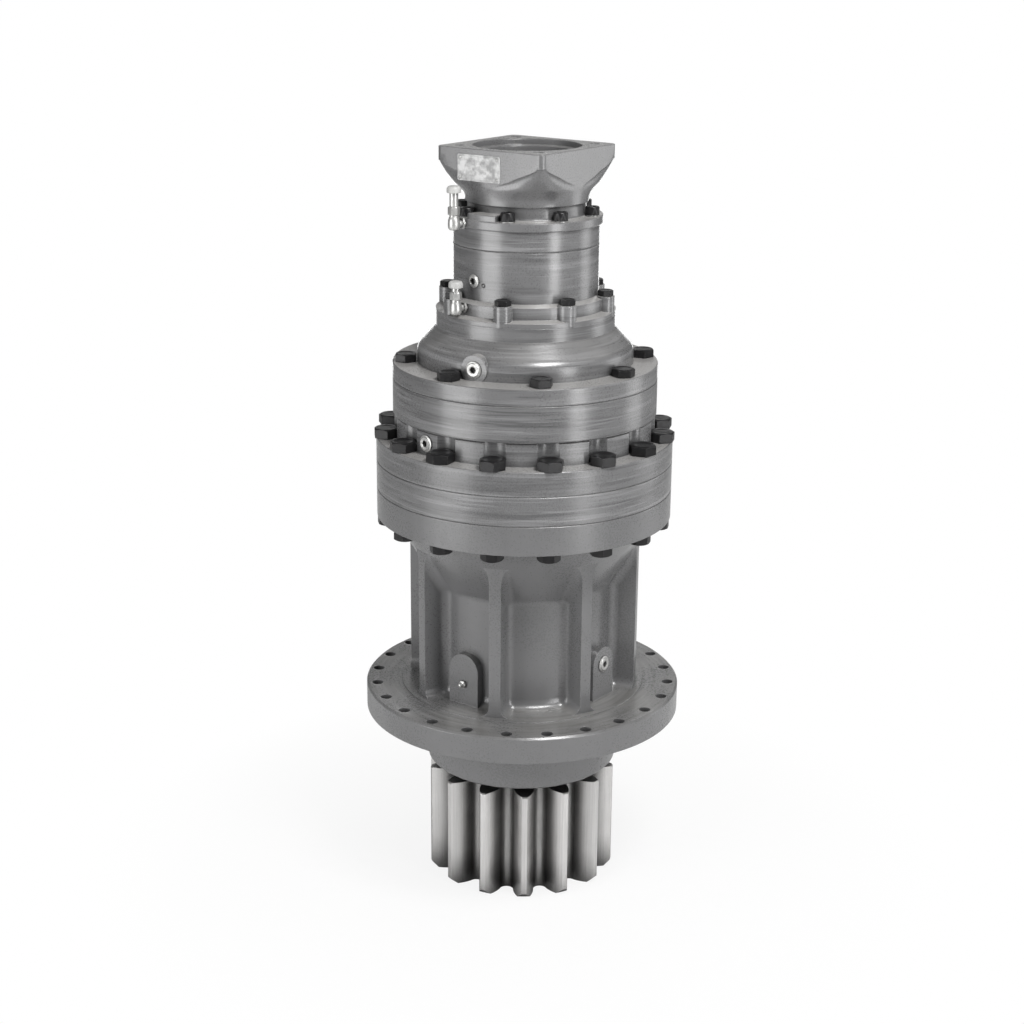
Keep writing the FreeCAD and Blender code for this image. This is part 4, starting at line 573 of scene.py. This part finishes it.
class Workpiece:
    """A mesh that is being made, out of closed skins over stacked rings, and finished in the one paint shop."""

    shop = PaintShop()

    def __init__(self, name: str) -> None:
        """Starts an empty piece of that name."""
        self.name = name
        self.solid = bmesh.new()

    def skin(self, rings: list[Ring], place: Matrix, bored: bool = False) -> None:
        """Adds one closed skin.

        Args:
            rings: Rings of equally many points, from one end to the other.
            place: Where the skin goes.
            bored: Whether the last ring joins the first one instead of both being capped.
        """
        loops = [[self.solid.verts.new(place @ Vector(point)) for point in ring] for ring in rings]
        for low, high in zip(loops, loops[1:] + loops[:1] if bored else loops[1:]):
            for index, corner in enumerate(low):
                after = (index + 1) % len(low)
                self.solid.faces.new((corner, low[after], high[after], high[index]))
        if not bored:
            self.solid.faces.new(loops[0][::-1])
            self.solid.faces.new(loops[-1])

    def cut(self, cutter: "Workpiece") -> None:
        """Takes another workpiece's skins out of this one.

        Args:
            cutter: The skins to take out, used up by it.
        """
        blocks = []
        for work in (self, cutter):
            bmesh.ops.recalc_face_normals(work.solid, faces=work.solid.faces)
            mesh = bpy.data.meshes.new(work.name)
            work.solid.to_mesh(mesh)
            work.solid.free()
            blocks.append(shown(work.name, mesh))
        drill = blocks[0].modifiers.new("drill", "BOOLEAN")
        drill.object = blocks[1]
        drill.solver = "EXACT"
        bpy.context.view_layer.update()
        result = blocks[0].evaluated_get(bpy.context.evaluated_depsgraph_get())
        self.solid = bmesh.new()
        self.solid.from_mesh(result.data)
        for block in blocks:
            mesh = block.data
            bpy.data.objects.remove(block)
            bpy.data.meshes.remove(mesh)

    def finish(self, slot: Slot, replaced: str = "") -> bpy.types.Object:
        """Turns the skins into an object that rides on the casing.

        Args:
            slot: The piece's finish.
            replaced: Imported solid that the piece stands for, if any.

        Returns:
            The finished object.
        """
        bmesh.ops.recalc_face_normals(self.solid, faces=self.solid.faces)
        for face in self.solid.faces:
            face.smooth = True
        for edge in self.solid.edges:
            edge.smooth = edge.calc_face_angle(0.0) < SHARP_EDGE
        mesh = bpy.data.meshes.new(self.name)
        self.solid.to_mesh(mesh)
        self.solid.free()
        mesh.materials.append(self.shop.material(slot))
        piece = shown(self.name, mesh)
        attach(piece, HOUSING_BODY)
        if replaced:
            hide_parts(replaced)
        log.info("built %s with %d faces", self.name, len(mesh.polygons))
        return piece


@dataclass
class ScrewRow:
    """One row of hexagon bolts on a circle round the axis."""

    node: str
    shank: float
    head: float
    radius: float
    seat: float
    tip: float
    count: int
    start: float
    facing: Facing = Facing.UP

    def places(self) -> list[Matrix]:
        """Where the row's screws sit."""
        return spaced(self.count, self.start, self.radius, self.seat)

    def shaft(self) -> list[Ring]:
        """Rings of the threaded shank from tip to seat, its seat at zero."""
        length = abs(self.seat - self.tip)
        return stacked((self.shank * 0.86, -length), (self.shank, -length + self.shank * 0.16), (self.shank, 0.0))

    def top(self) -> list[Ring]:
        """Rings of the head: a washer face, six flats, a turned bevel and a dished top.

        Returns:
            The rings from seat to the middle of the top.
        """
        tall = self.shank * 1.25
        rim = self.head * 0.93
        face = 0.6 * MM
        return [
            *stacked((rim, 0.0), (rim, face)), hexagon(self.head, face), bevelled(self.head, rim, tall),
            *stacked((rim, tall), (self.head * 0.7, tall), (self.head * 0.64, tall - face),
                     (self.head * 0.05, tall - face * 1.3)),
        ]

    def build(self) -> bpy.types.Object:
        """Sets every screw of the row.

        Returns:
            The row as one object.
        """
        work = Workpiece(f"{self.node}_detailed")
        flip = Matrix.Identity(4) if self.facing is Facing.UP else Matrix.Rotation(math.pi, 4, "X")
        for index, place in enumerate(self.places()):
            spin = Matrix.Rotation(math.radians(37.0 * index * index), 4, "Z")
            work.skin(self.shaft() + self.top(), place @ flip @ spin)
        return work.finish(Slot.SCREW_BLACK, self.node)


@dataclass
class SocketRow(ScrewRow):
    """One row of socket head screws with knurled heads."""

    socket_share: float = 0.52
    socket_depth_share: float = 0.52

    def top(self) -> list[Ring]:
        """Rings of the knurled head and its hexagon socket.

        Returns:
            The rings from seat to socket floor.
        """
        tall = self.shank * 2
        chamfer = self.head * 0.09
        flat = self.head * self.socket_share
        groove = 0.45 * MM
        crown = self.head - groove
        return [
            circle(self.head - chamfer * 0.6, 0.0), knurled(self.head, chamfer * 0.6, groove),
            knurled(self.head, tall - chamfer * 1.6, groove),
            *stacked((crown, tall - chamfer), (crown - chamfer * 0.4, tall - chamfer * 0.3),
                     (self.head - chamfer * 1.5, tall), (flat * 1.19, tall)),
            hexagon(flat, tall - 0.06 * self.head), hexagon(flat, tall * (1 - self.socket_depth_share)),
            *stacked((flat * 0.5, tall * (0.96 - self.socket_depth_share)), (flat * 0.06, tall * 0.36)),
        ]


@dataclass
class Fasteners:
    """Every row of screws on the gearbox."""

    rows: tuple[ScrewRow, ...] = (
        ScrewRow("upper_stack_screws", 12 * MM, 18 * MM, 211 * MM, 441 * MM, 384.26 * MM, 16, 23.25),
        ScrewRow("lower_stack_screws", 10 * MM, 15 * MM, 210 * MM, 316 * MM, 379.74 * MM, 16, 23.25, Facing.DOWN),
        ScrewRow("mid_stack_screws", 10 * MM, 15 * MM, 180 * MM, 555 * MM, 449.75 * MM, 8, 43.0),
        ScrewRow("brake_housing_screws", 7 * MM, 10.5 * MM, 122 * MM, 658.5 * MM, 606.5 * MM, 8, 20.0),
        SocketRow("motor_adapter_screws", 7 * MM, 10.5 * MM, 99.5 * MM, 775.2 * MM, 711.3 * MM, 8, 20.0),
    )

    def build(self) -> None:
        """Builds the rows one after another."""
        for row in self.rows:
            row.build()


@dataclass
class WallPlug:
    """A screwed plug with a flanged round head and a hexagon socket."""

    azimuth: float
    seat: float
    height: float
    radius: float
    head: float = 4 * MM
    stem: float = 7 * MM
    stem_length: float = 10 * MM
    socket: float = 4.4 * MM

    def rings(self) -> list[Ring]:
        """Rings of the plug, from its stem's end to its socket's floor.

        Returns:
            The rings, with the wall at zero.
        """
        rim = self.radius
        return [
            *stacked((self.stem * 0.85, -self.stem_length), (self.stem, -self.stem_length + 1 * MM),
                     (self.stem, 0.0), (rim - 0.3 * MM, 0.0), (rim, 0.3 * MM), (rim, 1.5 * MM),
                     (rim - 0.8 * MM, 2.1 * MM), (rim * 0.84, 2.3 * MM), (rim * 0.8, self.head - 0.7 * MM),
                     (rim * 0.72, self.head), (self.socket * 1.25, self.head)),
            hexagon(self.socket, self.head - 0.5 * MM), hexagon(self.socket, -3 * MM),
            circle(self.socket * 0.3, -4.5 * MM),
        ]


@dataclass
class Plugs:
    """The level, drain and filler plugs in the castings' walls."""

    seats: tuple[WallPlug, ...] = (
        WallPlug(0.0, 153 * MM, 97 * MM, 12.5 * MM),
        WallPlug(-100.5, 198 * MM, 458.5 * MM, 12.5 * MM),
        WallPlug(-81.0, 164 * MM, 571 * MM, 12.5 * MM),
        WallPlug(-98.0, 108.6 * MM, 687 * MM, 9.8 * MM),
    )

    def build(self) -> bpy.types.Object:
        """Sets the plugs in their walls.

        Returns:
            The plugs as one object.
        """
        work = Workpiece("wall_plugs")
        for plug in self.seats:
            work.skin(plug.rings(), outward(plug.azimuth, plug.seat, plug.height))
        return work.finish(Slot.ZINC, "level_plugs")


@dataclass
class ElbowFitting:
    """A capped elbow: a stub in the wall, a forged knee, a hexagon and a cap on top."""

    name: str
    azimuth: float
    seat: float
    height: float
    rise: float
    reach: float = 12 * MM
    thread: float = 7.5 * MM
    body: float = 9 * MM
    stub: float = 5 * MM
    nut: float = 7.4 * MM
    cap: float = 10.5 * MM
    cap_height: float = 10 * MM

    def leg(self) -> list[Ring]:
        """Rings of the upright leg, its foot at zero.

        Returns:
            The rings from foot to mouth.
        """
        b = self.body
        return [
            *stacked((b * 0.35, 0.0), (b * 0.72, 0.7 * MM), (b * 0.93, 3.2 * MM), (b * 0.98, 8 * MM),
                     (b * 0.93, 15 * MM), (b * 0.82, 18 * MM), (b * 0.74, 19.5 * MM), (b * 0.74, 22 * MM)),
            hexagon(b * 0.84, 22.6 * MM), hexagon(b * 0.86, 23.2 * MM), hexagon(b * 0.86, 33 * MM),
            *stacked((b * 0.84, 34 * MM), (b * 0.7, 34.4 * MM), (b * 0.7, self.rise)),
        ]

    def collar(self) -> list[Ring]:
        """Rings of the stub and the lock nut against the wall.

        Returns:
            The rings from the wall's inside outwards.
        """
        return [
            *stacked((self.stub * 0.9, -self.thread), (self.stub, 1 * MM - self.thread), (self.stub, 0.2 * MM),
                     (self.nut - 0.4 * MM, 0.2 * MM)),
            hexagon(self.nut, 0.8 * MM), hexagon(self.nut, 3.6 * MM),
            *stacked((self.nut - 0.4 * MM, 4.2 * MM), (self.stub, 4.4 * MM),
                     (self.stub, self.reach + self.body / 2)),
        ]

    def lid(self) -> list[Ring]:
        """Rings of the domed cap, its lower edge at zero.

        Returns:
            The rings from skirt to crown.
        """
        c, tall = self.cap, self.cap_height
        return [
            *stacked((c * 0.8, 0.0), (c * 0.97, 0.0)), knurled(c, 0.6 * MM, 0.4 * MM),
            knurled(c, tall * 0.6, 0.4 * MM),
            *stacked((c * 0.93, tall * 0.72), (c * 0.78, tall * 0.9), (c * 0.5, tall * 0.98), (c * 0.1, tall)),
        ]

    def build(self) -> tuple[float, float]:
        """Builds the elbow and tells where its cap goes.

        Returns:
            The cap's circle radius and lower edge.
        """
        circle_radius = self.seat + self.reach + self.body / 2
        foot = self.height - self.body
        work = Workpiece(f"{self.name}_forged")
        work.skin(self.leg(), upright(self.azimuth, circle_radius, foot))
        work.skin(self.collar(), outward(self.azimuth, self.seat, self.height))
        work.finish(Slot.ZINC, self.name)
        return circle_radius, foot + self.rise


@dataclass
class CappedFittings:
    """The brake's pressure port and the breather, each with its cap."""

    elbows: tuple[ElbowFitting, ...] = (
        ElbowFitting("release_elbow", -108.0, 113 * MM, 768.9 * MM, 54 * MM),
        ElbowFitting("breather_elbow", -102.5, 119.5 * MM, 648.5 * MM, 40 * MM),
    )

    def build(self) -> None:
        """Builds both elbows, then both caps as one piece."""
        caps = Workpiece("fitting_caps_domed")
        for elbow in self.elbows:
            radius, low = elbow.build()
            caps.skin(elbow.lid(), upright(elbow.azimuth, radius, low))
        caps.finish(Slot.CAP_PLASTIC, "fitting_caps")


@dataclass
class SmallTrim:
    """The motor screws' washers, the grease nipple and the blind set screw by the brake's plug."""

    washer: float = 11.3 * MM
    washer_height: float = 1.4 * MM
    nipple: float = 5.4 * MM
    nipple_reach: float = 11 * MM
    nipple_place: Point = (-90.0, 153 * MM, 76 * MM)
    set_screw: float = 3.4 * MM
    set_screw_place: Point = (-88.8, 108.6 * MM, 682 * MM)

    def nipple_rings(self) -> list[Ring]:
        """Rings of the grease nipple, the wall at zero.

        Returns:
            The rings from its thread to its ball.
        """
        n, far = self.nipple, self.nipple_reach
        return [
            *stacked((n * 0.85, -4 * MM), (n * 0.85, 0.0)), hexagon(n, 0.3 * MM), hexagon(n, 4 * MM),
            *stacked((n * 0.8, 4.6 * MM), (n * 0.5, 5.2 * MM), (n * 0.38, far - 4 * MM), (n * 0.58, far - 2.6 * MM),
                     (n * 0.58, far - 1.4 * MM), (n * 0.36, far - 0.3 * MM), (n * 0.1, far)),
        ]

    def build(self) -> None:
        """Builds the three kinds of trim."""
        washers = Workpiece("motor_screw_washers")
        w, tall = self.washer, self.washer_height
        for place in Fasteners().rows[-1].places():
            washers.skin(stacked((w * 0.98, 0.0), (w, 0.3 * MM), (w, tall - 0.3 * MM), (w * 0.97, tall),
                                 (w * 0.1, tall)), place)
        washers.finish(Slot.ZINC)
        nipple = Workpiece("grease_nipple")
        nipple.skin(self.nipple_rings(), outward(*self.nipple_place))
        nipple.finish(Slot.ZINC)
        screw = Workpiece("blind_set_screw")
        s = self.set_screw
        screw.skin([*stacked((s, -2 * MM), (s, 0.1 * MM), (s * 0.9, 0.4 * MM), (s * 0.6, 0.4 * MM)),
                    hexagon(s * 0.5, 0.3 * MM), hexagon(s * 0.5, -1.6 * MM), circle(s * 0.05, -1.8 * MM)],
                   outward(*self.set_screw_place))
        screw.finish(Slot.SCREW_BLACK)


@dataclass
class FlaredAdapter:
    """The casting under the motor: round flange, neck, and a flare to the square seat with a web to each corner.

    The tables are in millimetres: flare and webs give depths below the seat with radii, foot and bore give radii with
    heights, and a row of foot holes its count, first angle, circle and depth.
    """

    half: float = 94.75 * MM
    corner: float = 127.7 * MM
    corner_round: float = 9 * MM
    top: float = 874.2 * MM
    chamfer: float = 0.9 * MM
    square_deep: float = 21.0
    flare: Table = (
        (0.9, 127.7), (10, 127.7), (20.6, 127.7), (21.2, 127.4), (22.8, 126), (25.2, 123.2), (28.2, 119),
        (31.2, 114.5), (33.6, 110.6), (36.4, 107), (39.4, 104), (42.2, 101.6), (44.8, 99.2), (47.4, 97.2),
        (50, 95.6), (53, 94.9), (56, 94.3), (60, 93.6), (66, 92.8), (72, 92.1), (79, 91.6),
    )
    webs: Table = ((21, 129.2), (27, 126), (40, 118), (53, 108), (63, 98), (71, 91.5), (79, 86))
    foot: Table = (
        (34.5, 762.6), (111.8, 762.6), (113, 763.8), (113, 774.2), (112.2, 775.2), (92, 775.2), (89.4, 776.2),
        (88.2, 778.6), (88, 781), (88, 791.6), (88.6, 793.2), (91, 795),
    )
    bore: Table = (
        (81, 874.2), (80, 873.2), (80, 865.6), (79.6, 865.2), (71, 865.2), (70, 864.2), (70, 805.2), (62, 801.9),
        (54, 798.5), (46, 795.2), (46, 789.6), (37.5, 789.6), (37.5, 765.6), (34.5, 765.6),
    )
    motor_holes: tuple[float, float, float] = (100 * MM, 7 * MM, 28 * MM)
    foot_hole: float = 7.5 * MM
    foot_holes: tuple[tuple[int, float, float, float], ...] = ((8, 20.0, 99.5, 14.0), (12, 0.0, 67.0, 3.0))
    pad_middle: float = -91.0
    pad_half: float = 13.0
    pad_reach: tuple[float, float] = (85.0, 111.5)
    pad_levels: Table = ((0.0, 774.2), (0.0, 783.2), (1.0, 784.2))
    pad_steps: int = 12

    def reach_of_web(self, depth: float) -> float:
        """How far the webs reach at one depth.

        Args:
            depth: Depth below the seat in millimetres.

        Returns:
            The distance from the axis.
        """
        for (upper, start), (lower, end) in zip(self.webs, self.webs[1:]):
            if upper <= depth <= lower:
                return (start + (end - start) * (depth - upper) / (lower - upper)) * MM
        return 0.0

    def meet(self, radius: float) -> float:
        """Angle at which the flare meets a flat side, zero where it lies inside them."""
        return math.acos(self.half / radius) if radius > self.half else 0.0

    def angles(self, radius: float) -> list[float]:
        """Angles of a ring's points, with one where the flare meets each flat side.

        Args:
            radius: The flare's radius.

        Returns:
            The angles within one eighth, from the middle of a side to its corner.
        """
        meet = max(self.meet(radius), math.radians(5.0))
        far = math.pi / 4
        return [meet * i / 12 for i in range(13)] + [meet + (far - meet) * i / 18 for i in range(1, 19)]

    @staticmethod
    def round_end(middle: float, end: float, off: float) -> float:
        """Reach of a round end that stands on a corner's diagonal.

        Args:
            middle: Distance of the end's centre from the axis.
            end: The end's radius.
            off: Angle off the diagonal.

        Returns:
            The distance from the axis, or zero where the end isn't met.
        """
        aside = middle * math.sin(off)
        met = 0 < middle and aside < end
        return middle * math.cos(off) + math.sqrt(end * end - aside * aside) if met else 0.0

    def reach(self, depth: float, radius: float, angle: float) -> float:
        """Distance from the axis to the outline of seat, flare and web.

        Args:
            depth: Depth below the seat in millimetres.
            radius: The flare's radius there.
            angle: Angle within one eighth.

        Returns:
            The distance.
        """
        off = math.pi / 4 - angle
        corner = self.round_end((self.half - self.corner_round) * math.sqrt(2), self.corner_round, off)
        edge = min(self.half / math.cos(angle), corner or math.inf)
        if depth < self.square_deep:
            return edge
        share = (1 + math.cos(math.pi * min(off / (math.pi / 4 - self.meet(radius)), 1.0))) / 2
        return min(radius + max(self.reach_of_web(depth) - radius, 0.0) * share, edge)

    def ring(self, height: float, spread: float, reach: Callable[[float], float]) -> Ring:
        """One level ring of the casting.

        Args:
            height: The ring's height.
            spread: Flare radius that sets where the points stand.
            reach: Distance from the axis for an angle within one eighth.

        Returns:
            The ring's points.
        """
        eighth = [(angle, reach(angle)) for angle in self.angles(spread)]
        side = eighth + [(math.pi / 2 - angle, far) for angle, far in eighth[-2:0:-1]]
        return [(far * math.cos(angle + turn * math.pi / 2), far * math.sin(angle + turn * math.pi / 2), height)
                for turn in range(4) for angle, far in side]

    def plan(self, depth: float, radius: float, inset: float = 0.0) -> Ring:
        """A ring of the flare, cut by the four flat sides and joined to the webs."""
        return self.ring(self.top - depth * MM, radius, lambda angle: self.reach(depth, radius, angle) - inset)

    def skin_rings(self) -> list[Ring]:
        """Rings round the whole section: flange, neck, flare, seat, pilot and bore.

        Returns:
            The rings, the last one next to the first.
        """
        foot, bore = (
            [self.ring(z * MM, spread, lambda _angle, r=r: r * MM) for r, z in table]
            for table, spread in ((self.foot, self.half), (self.bore, self.corner)))
        flare = [self.plan(depth, radius * MM) for depth, radius in reversed(self.flare)]
        return foot + flare + [self.plan(0.0, self.corner, self.chamfer)] + bore

    def build(self) -> None:
        """Builds the casting with its pad and drills its holes."""
        casting, drills = Workpiece("motor_adapter_flared"), Workpiece("drills")
        casting.skin(self.skin_rings(), HERE, bored=True)
        far, bolt, deep = self.motor_holes
        for place in spaced(4, 45.0, far, self.top):
            drills.skin(stacked((bolt * 1.32, 1 * MM), (bolt * 1.18, 0.0), (bolt, -1.3 * MM), (bolt, -deep),
                                (bolt * 0.06, -deep - 3 * MM), count=48), place)
        for count, start, radius, rise in self.foot_holes:
            for place in spaced(count, start, radius * MM, self.foot[0][1] * MM):
                drills.skin(stacked((self.foot_hole, -1 * MM), (self.foot_hole, rise * MM), count=48), place)
        casting.cut(drills)
        pad = []
        for inset, height in self.pad_levels:
            half = math.radians(self.pad_half - inset * 0.5)
            steps = [math.radians(self.pad_middle) + half * (2 * i / self.pad_steps - 1)
                     for i in range(self.pad_steps + 1)]
            low, high = self.pad_reach
            pad.append([(reach * MM * math.cos(a), reach * MM * math.sin(a), height * MM)
                        for reach, part in ((high - inset, steps), (low, steps[::-1])) for a in part])
        casting.skin(pad, HERE)
        casting.finish(Slot.CAST_PAINT, "motor_adapter")


@dataclass
class DataPlate:
    """A bare plate with rounded corners, riveted to the square flange's front face."""

    face: float = -94.75 * MM
    left: float = -55 * MM
    right: float = 21 * MM
    low: float = 828 * MM
    high: float = 866 * MM
    thick: float = 0.9 * MM
    corner: float = 3 * MM
    rim: float = 2.2 * MM
    rim_height: float = 0.35 * MM
    rivet: float = 1.9 * MM
    rivet_inset: float = 5 * MM

    def outline(self, inset: float, depth: float) -> Ring:
        """Points round the plate.

        Args:
            inset: Distance inside the plate's edge.
            depth: Distance in front of the flange's face.

        Returns:
            The points in the row's frame.
        """
        points = []
        radius = max(self.corner - inset, 0.4 * MM)
        for turn, x, z in ((0, self.right, self.high), (1, self.left, self.high),
                           (2, self.left, self.low), (3, self.right, self.low)):
            cx = x - math.copysign(radius + inset, x - (self.left + self.right) / 2)
            cz = z - math.copysign(radius + inset, z - (self.low + self.high) / 2)
            for step in range(7):
                angle = math.pi / 2 * (turn + step / 6)
                points.append((cx + radius * math.cos(angle), self.face - depth, cz + radius * math.sin(angle)))
        return points

    def build(self) -> None:
        """Builds the plate with a raised rim, and its four rivets."""
        plate = Workpiece("data_plate")
        rim, field_depth = self.rim, self.thick - self.rim_height
        plate.skin([self.outline(inset, depth) for inset, depth in (
            (0.0, -0.05 * MM), (0.0, self.thick - 0.2 * MM), (0.2 * MM, self.thick), (rim, self.thick),
            (rim + 0.3 * MM, field_depth))], HERE)
        plate.finish(Slot.ZINC).data.materials[0] = WornPlate().make()
        rivets = Workpiece("plate_rivets")
        r = self.rivet
        for x in (self.left + self.rivet_inset, self.right - self.rivet_inset):
            for z in (self.low + self.rivet_inset, self.high - self.rivet_inset):
                place = Matrix.Translation((x, self.face - field_depth, z)) @ Matrix.Rotation(math.pi / 2, 4, "X")
                rivets.skin(stacked((r, 0.0), (r * 0.92, 0.5 * MM), (r * 0.6, 1 * MM), (r * 0.1, 1.2 * MM), count=24),
                            place)
        rivets.finish(Slot.ZINC)


@dataclass(frozen=True)
class Lamp:
    """One soft lamp that looks at the gearbox's middle."""

    name: str
    place: Point
    width: float
    tall: float
    watts: float
    aim: Point = (0.0, 0.0, 0.35)

    def hang(self) -> None:
        """Hangs the lamp, out of the camera's sight."""
        data = bpy.data.lights.new(self.name, "AREA")
        data.shape = "RECTANGLE"
        data.size, data.size_y, data.energy = self.width, self.tall, self.watts
        lamp = shown(self.name, data)
        lamp.location = self.place
        lamp.visible_camera = False
        lamp.rotation_euler = (Vector(self.aim) - Vector(self.place)).to_track_quat("-Z", "Y").to_euler()


@dataclass
class Studio:
    """Floor, lamps, sky and camera."""

    floor_half: float = 400.0
    floor_height: float = cad_box[0][2] - 0.1 * MM
    sky: float = 0.16
    lamps: tuple[Lamp, ...] = (
        Lamp("right_lamp", (2.35, -0.42, 0.65), 0.6, 1.7, 23.0),
        Lamp("left_lamp", (-0.82, -2.25, 0.6), 1.4, 1.6, 35.0),
        Lamp("edge_lamp", (1.55, 1.85, 0.55), 0.9, 1.5, 9.0),
        Lamp("high_lamp", (1.0, -0.45, 1.95), 0.6, 0.5, 30.0),
        Lamp("back_lamp", (-1.6, 2.2, 0.22), 1.8, 0.7, 12.0),
        Lamp("crown_lamp", (-1.47, 2.02, 1.8), 1.6, 0.5, 5.0),
    )
    lens: float = 66.02
    distance: float = 2.907
    azimuth: float = 36.0
    pitch: float = 17.49
    roll: float = 0.45
    look_height: float = 0.312
    side_shift: float = -0.0181

    def lay_floor(self) -> None:
        """Lays the pale floor under the pinion."""
        mesh = bpy.data.meshes.new("studio_floor")
        half, z = self.floor_half, self.floor_height
        corners = [(-half, -half, z), (half, -half, z), (half, half, z), (-half, half, z)]
        mesh.from_pydata(corners, [], [(0, 1, 2, 3)])
        mesh.materials.append(StudioWhite().make())
        shown("studio_floor", mesh)

    def paint_sky(self) -> None:
        """White to the camera and a soft grey light on the gearbox."""
        world = bpy.data.worlds.new("studio_sky")
        bpy.context.scene.world = world
        world.use_nodes = True
        nodes, links = world.node_tree.nodes, world.node_tree.links
        seen = nodes.new("ShaderNodeLightPath")
        strength = nodes.new("ShaderNodeMapRange")
        strength.inputs["To Min"].default_value = self.sky
        strength.inputs["To Max"].default_value = 1.0
        links.new(seen.outputs["Is Camera Ray"], strength.inputs["Value"])
        links.new(strength.outputs["Result"], nodes["Background"].inputs["Strength"])
        nodes["Background"].inputs["Color"].default_value = (1.0, 1.0, 1.0, 1.0)

    def set_camera(self) -> None:
        """Stands the camera where the photograph was taken from."""
        data = bpy.data.cameras.new("photo_camera")
        data.lens = self.lens
        data.sensor_width = 36.0
        data.clip_end = 1000.0
        camera = shown("photo_camera", data)
        a, e = math.radians(self.azimuth), math.radians(self.pitch)
        back = Vector((math.sin(a) * math.cos(e), -math.cos(a) * math.cos(e), math.sin(e)))
        right = Vector((math.cos(a), math.sin(a), 0.0))
        target = Vector((0.0, 0.0, self.look_height)) + right * self.side_shift
        turn = (-back).to_track_quat("-Z", "Y").to_matrix() @ Matrix.Rotation(math.radians(self.roll), 3, "Z")
        camera.matrix_world = Matrix.Translation(target + back * self.distance) @ turn.to_4x4()
        bpy.context.scene.camera = camera

    def build(self) -> None:
        """Sets up the whole studio."""
        self.lay_floor()
        for lamp in self.lamps:
            lamp.hang()
        self.paint_sky()
        self.set_camera()
        bpy.context.scene.view_settings.view_transform = "Standard"


def main() -> None:
    """Builds the gearbox's looks and the studio round it, in order."""
    logging.basicConfig(level=logging.INFO, format="%(message)s")
    Workpiece.shop.dress_castings()
    for group in (Fasteners(), Plugs(), CappedFittings(), FlaredAdapter(), SmallTrim(), DataPlate(), Studio()):
        group.build()


if __name__ == "__main__":
    main()
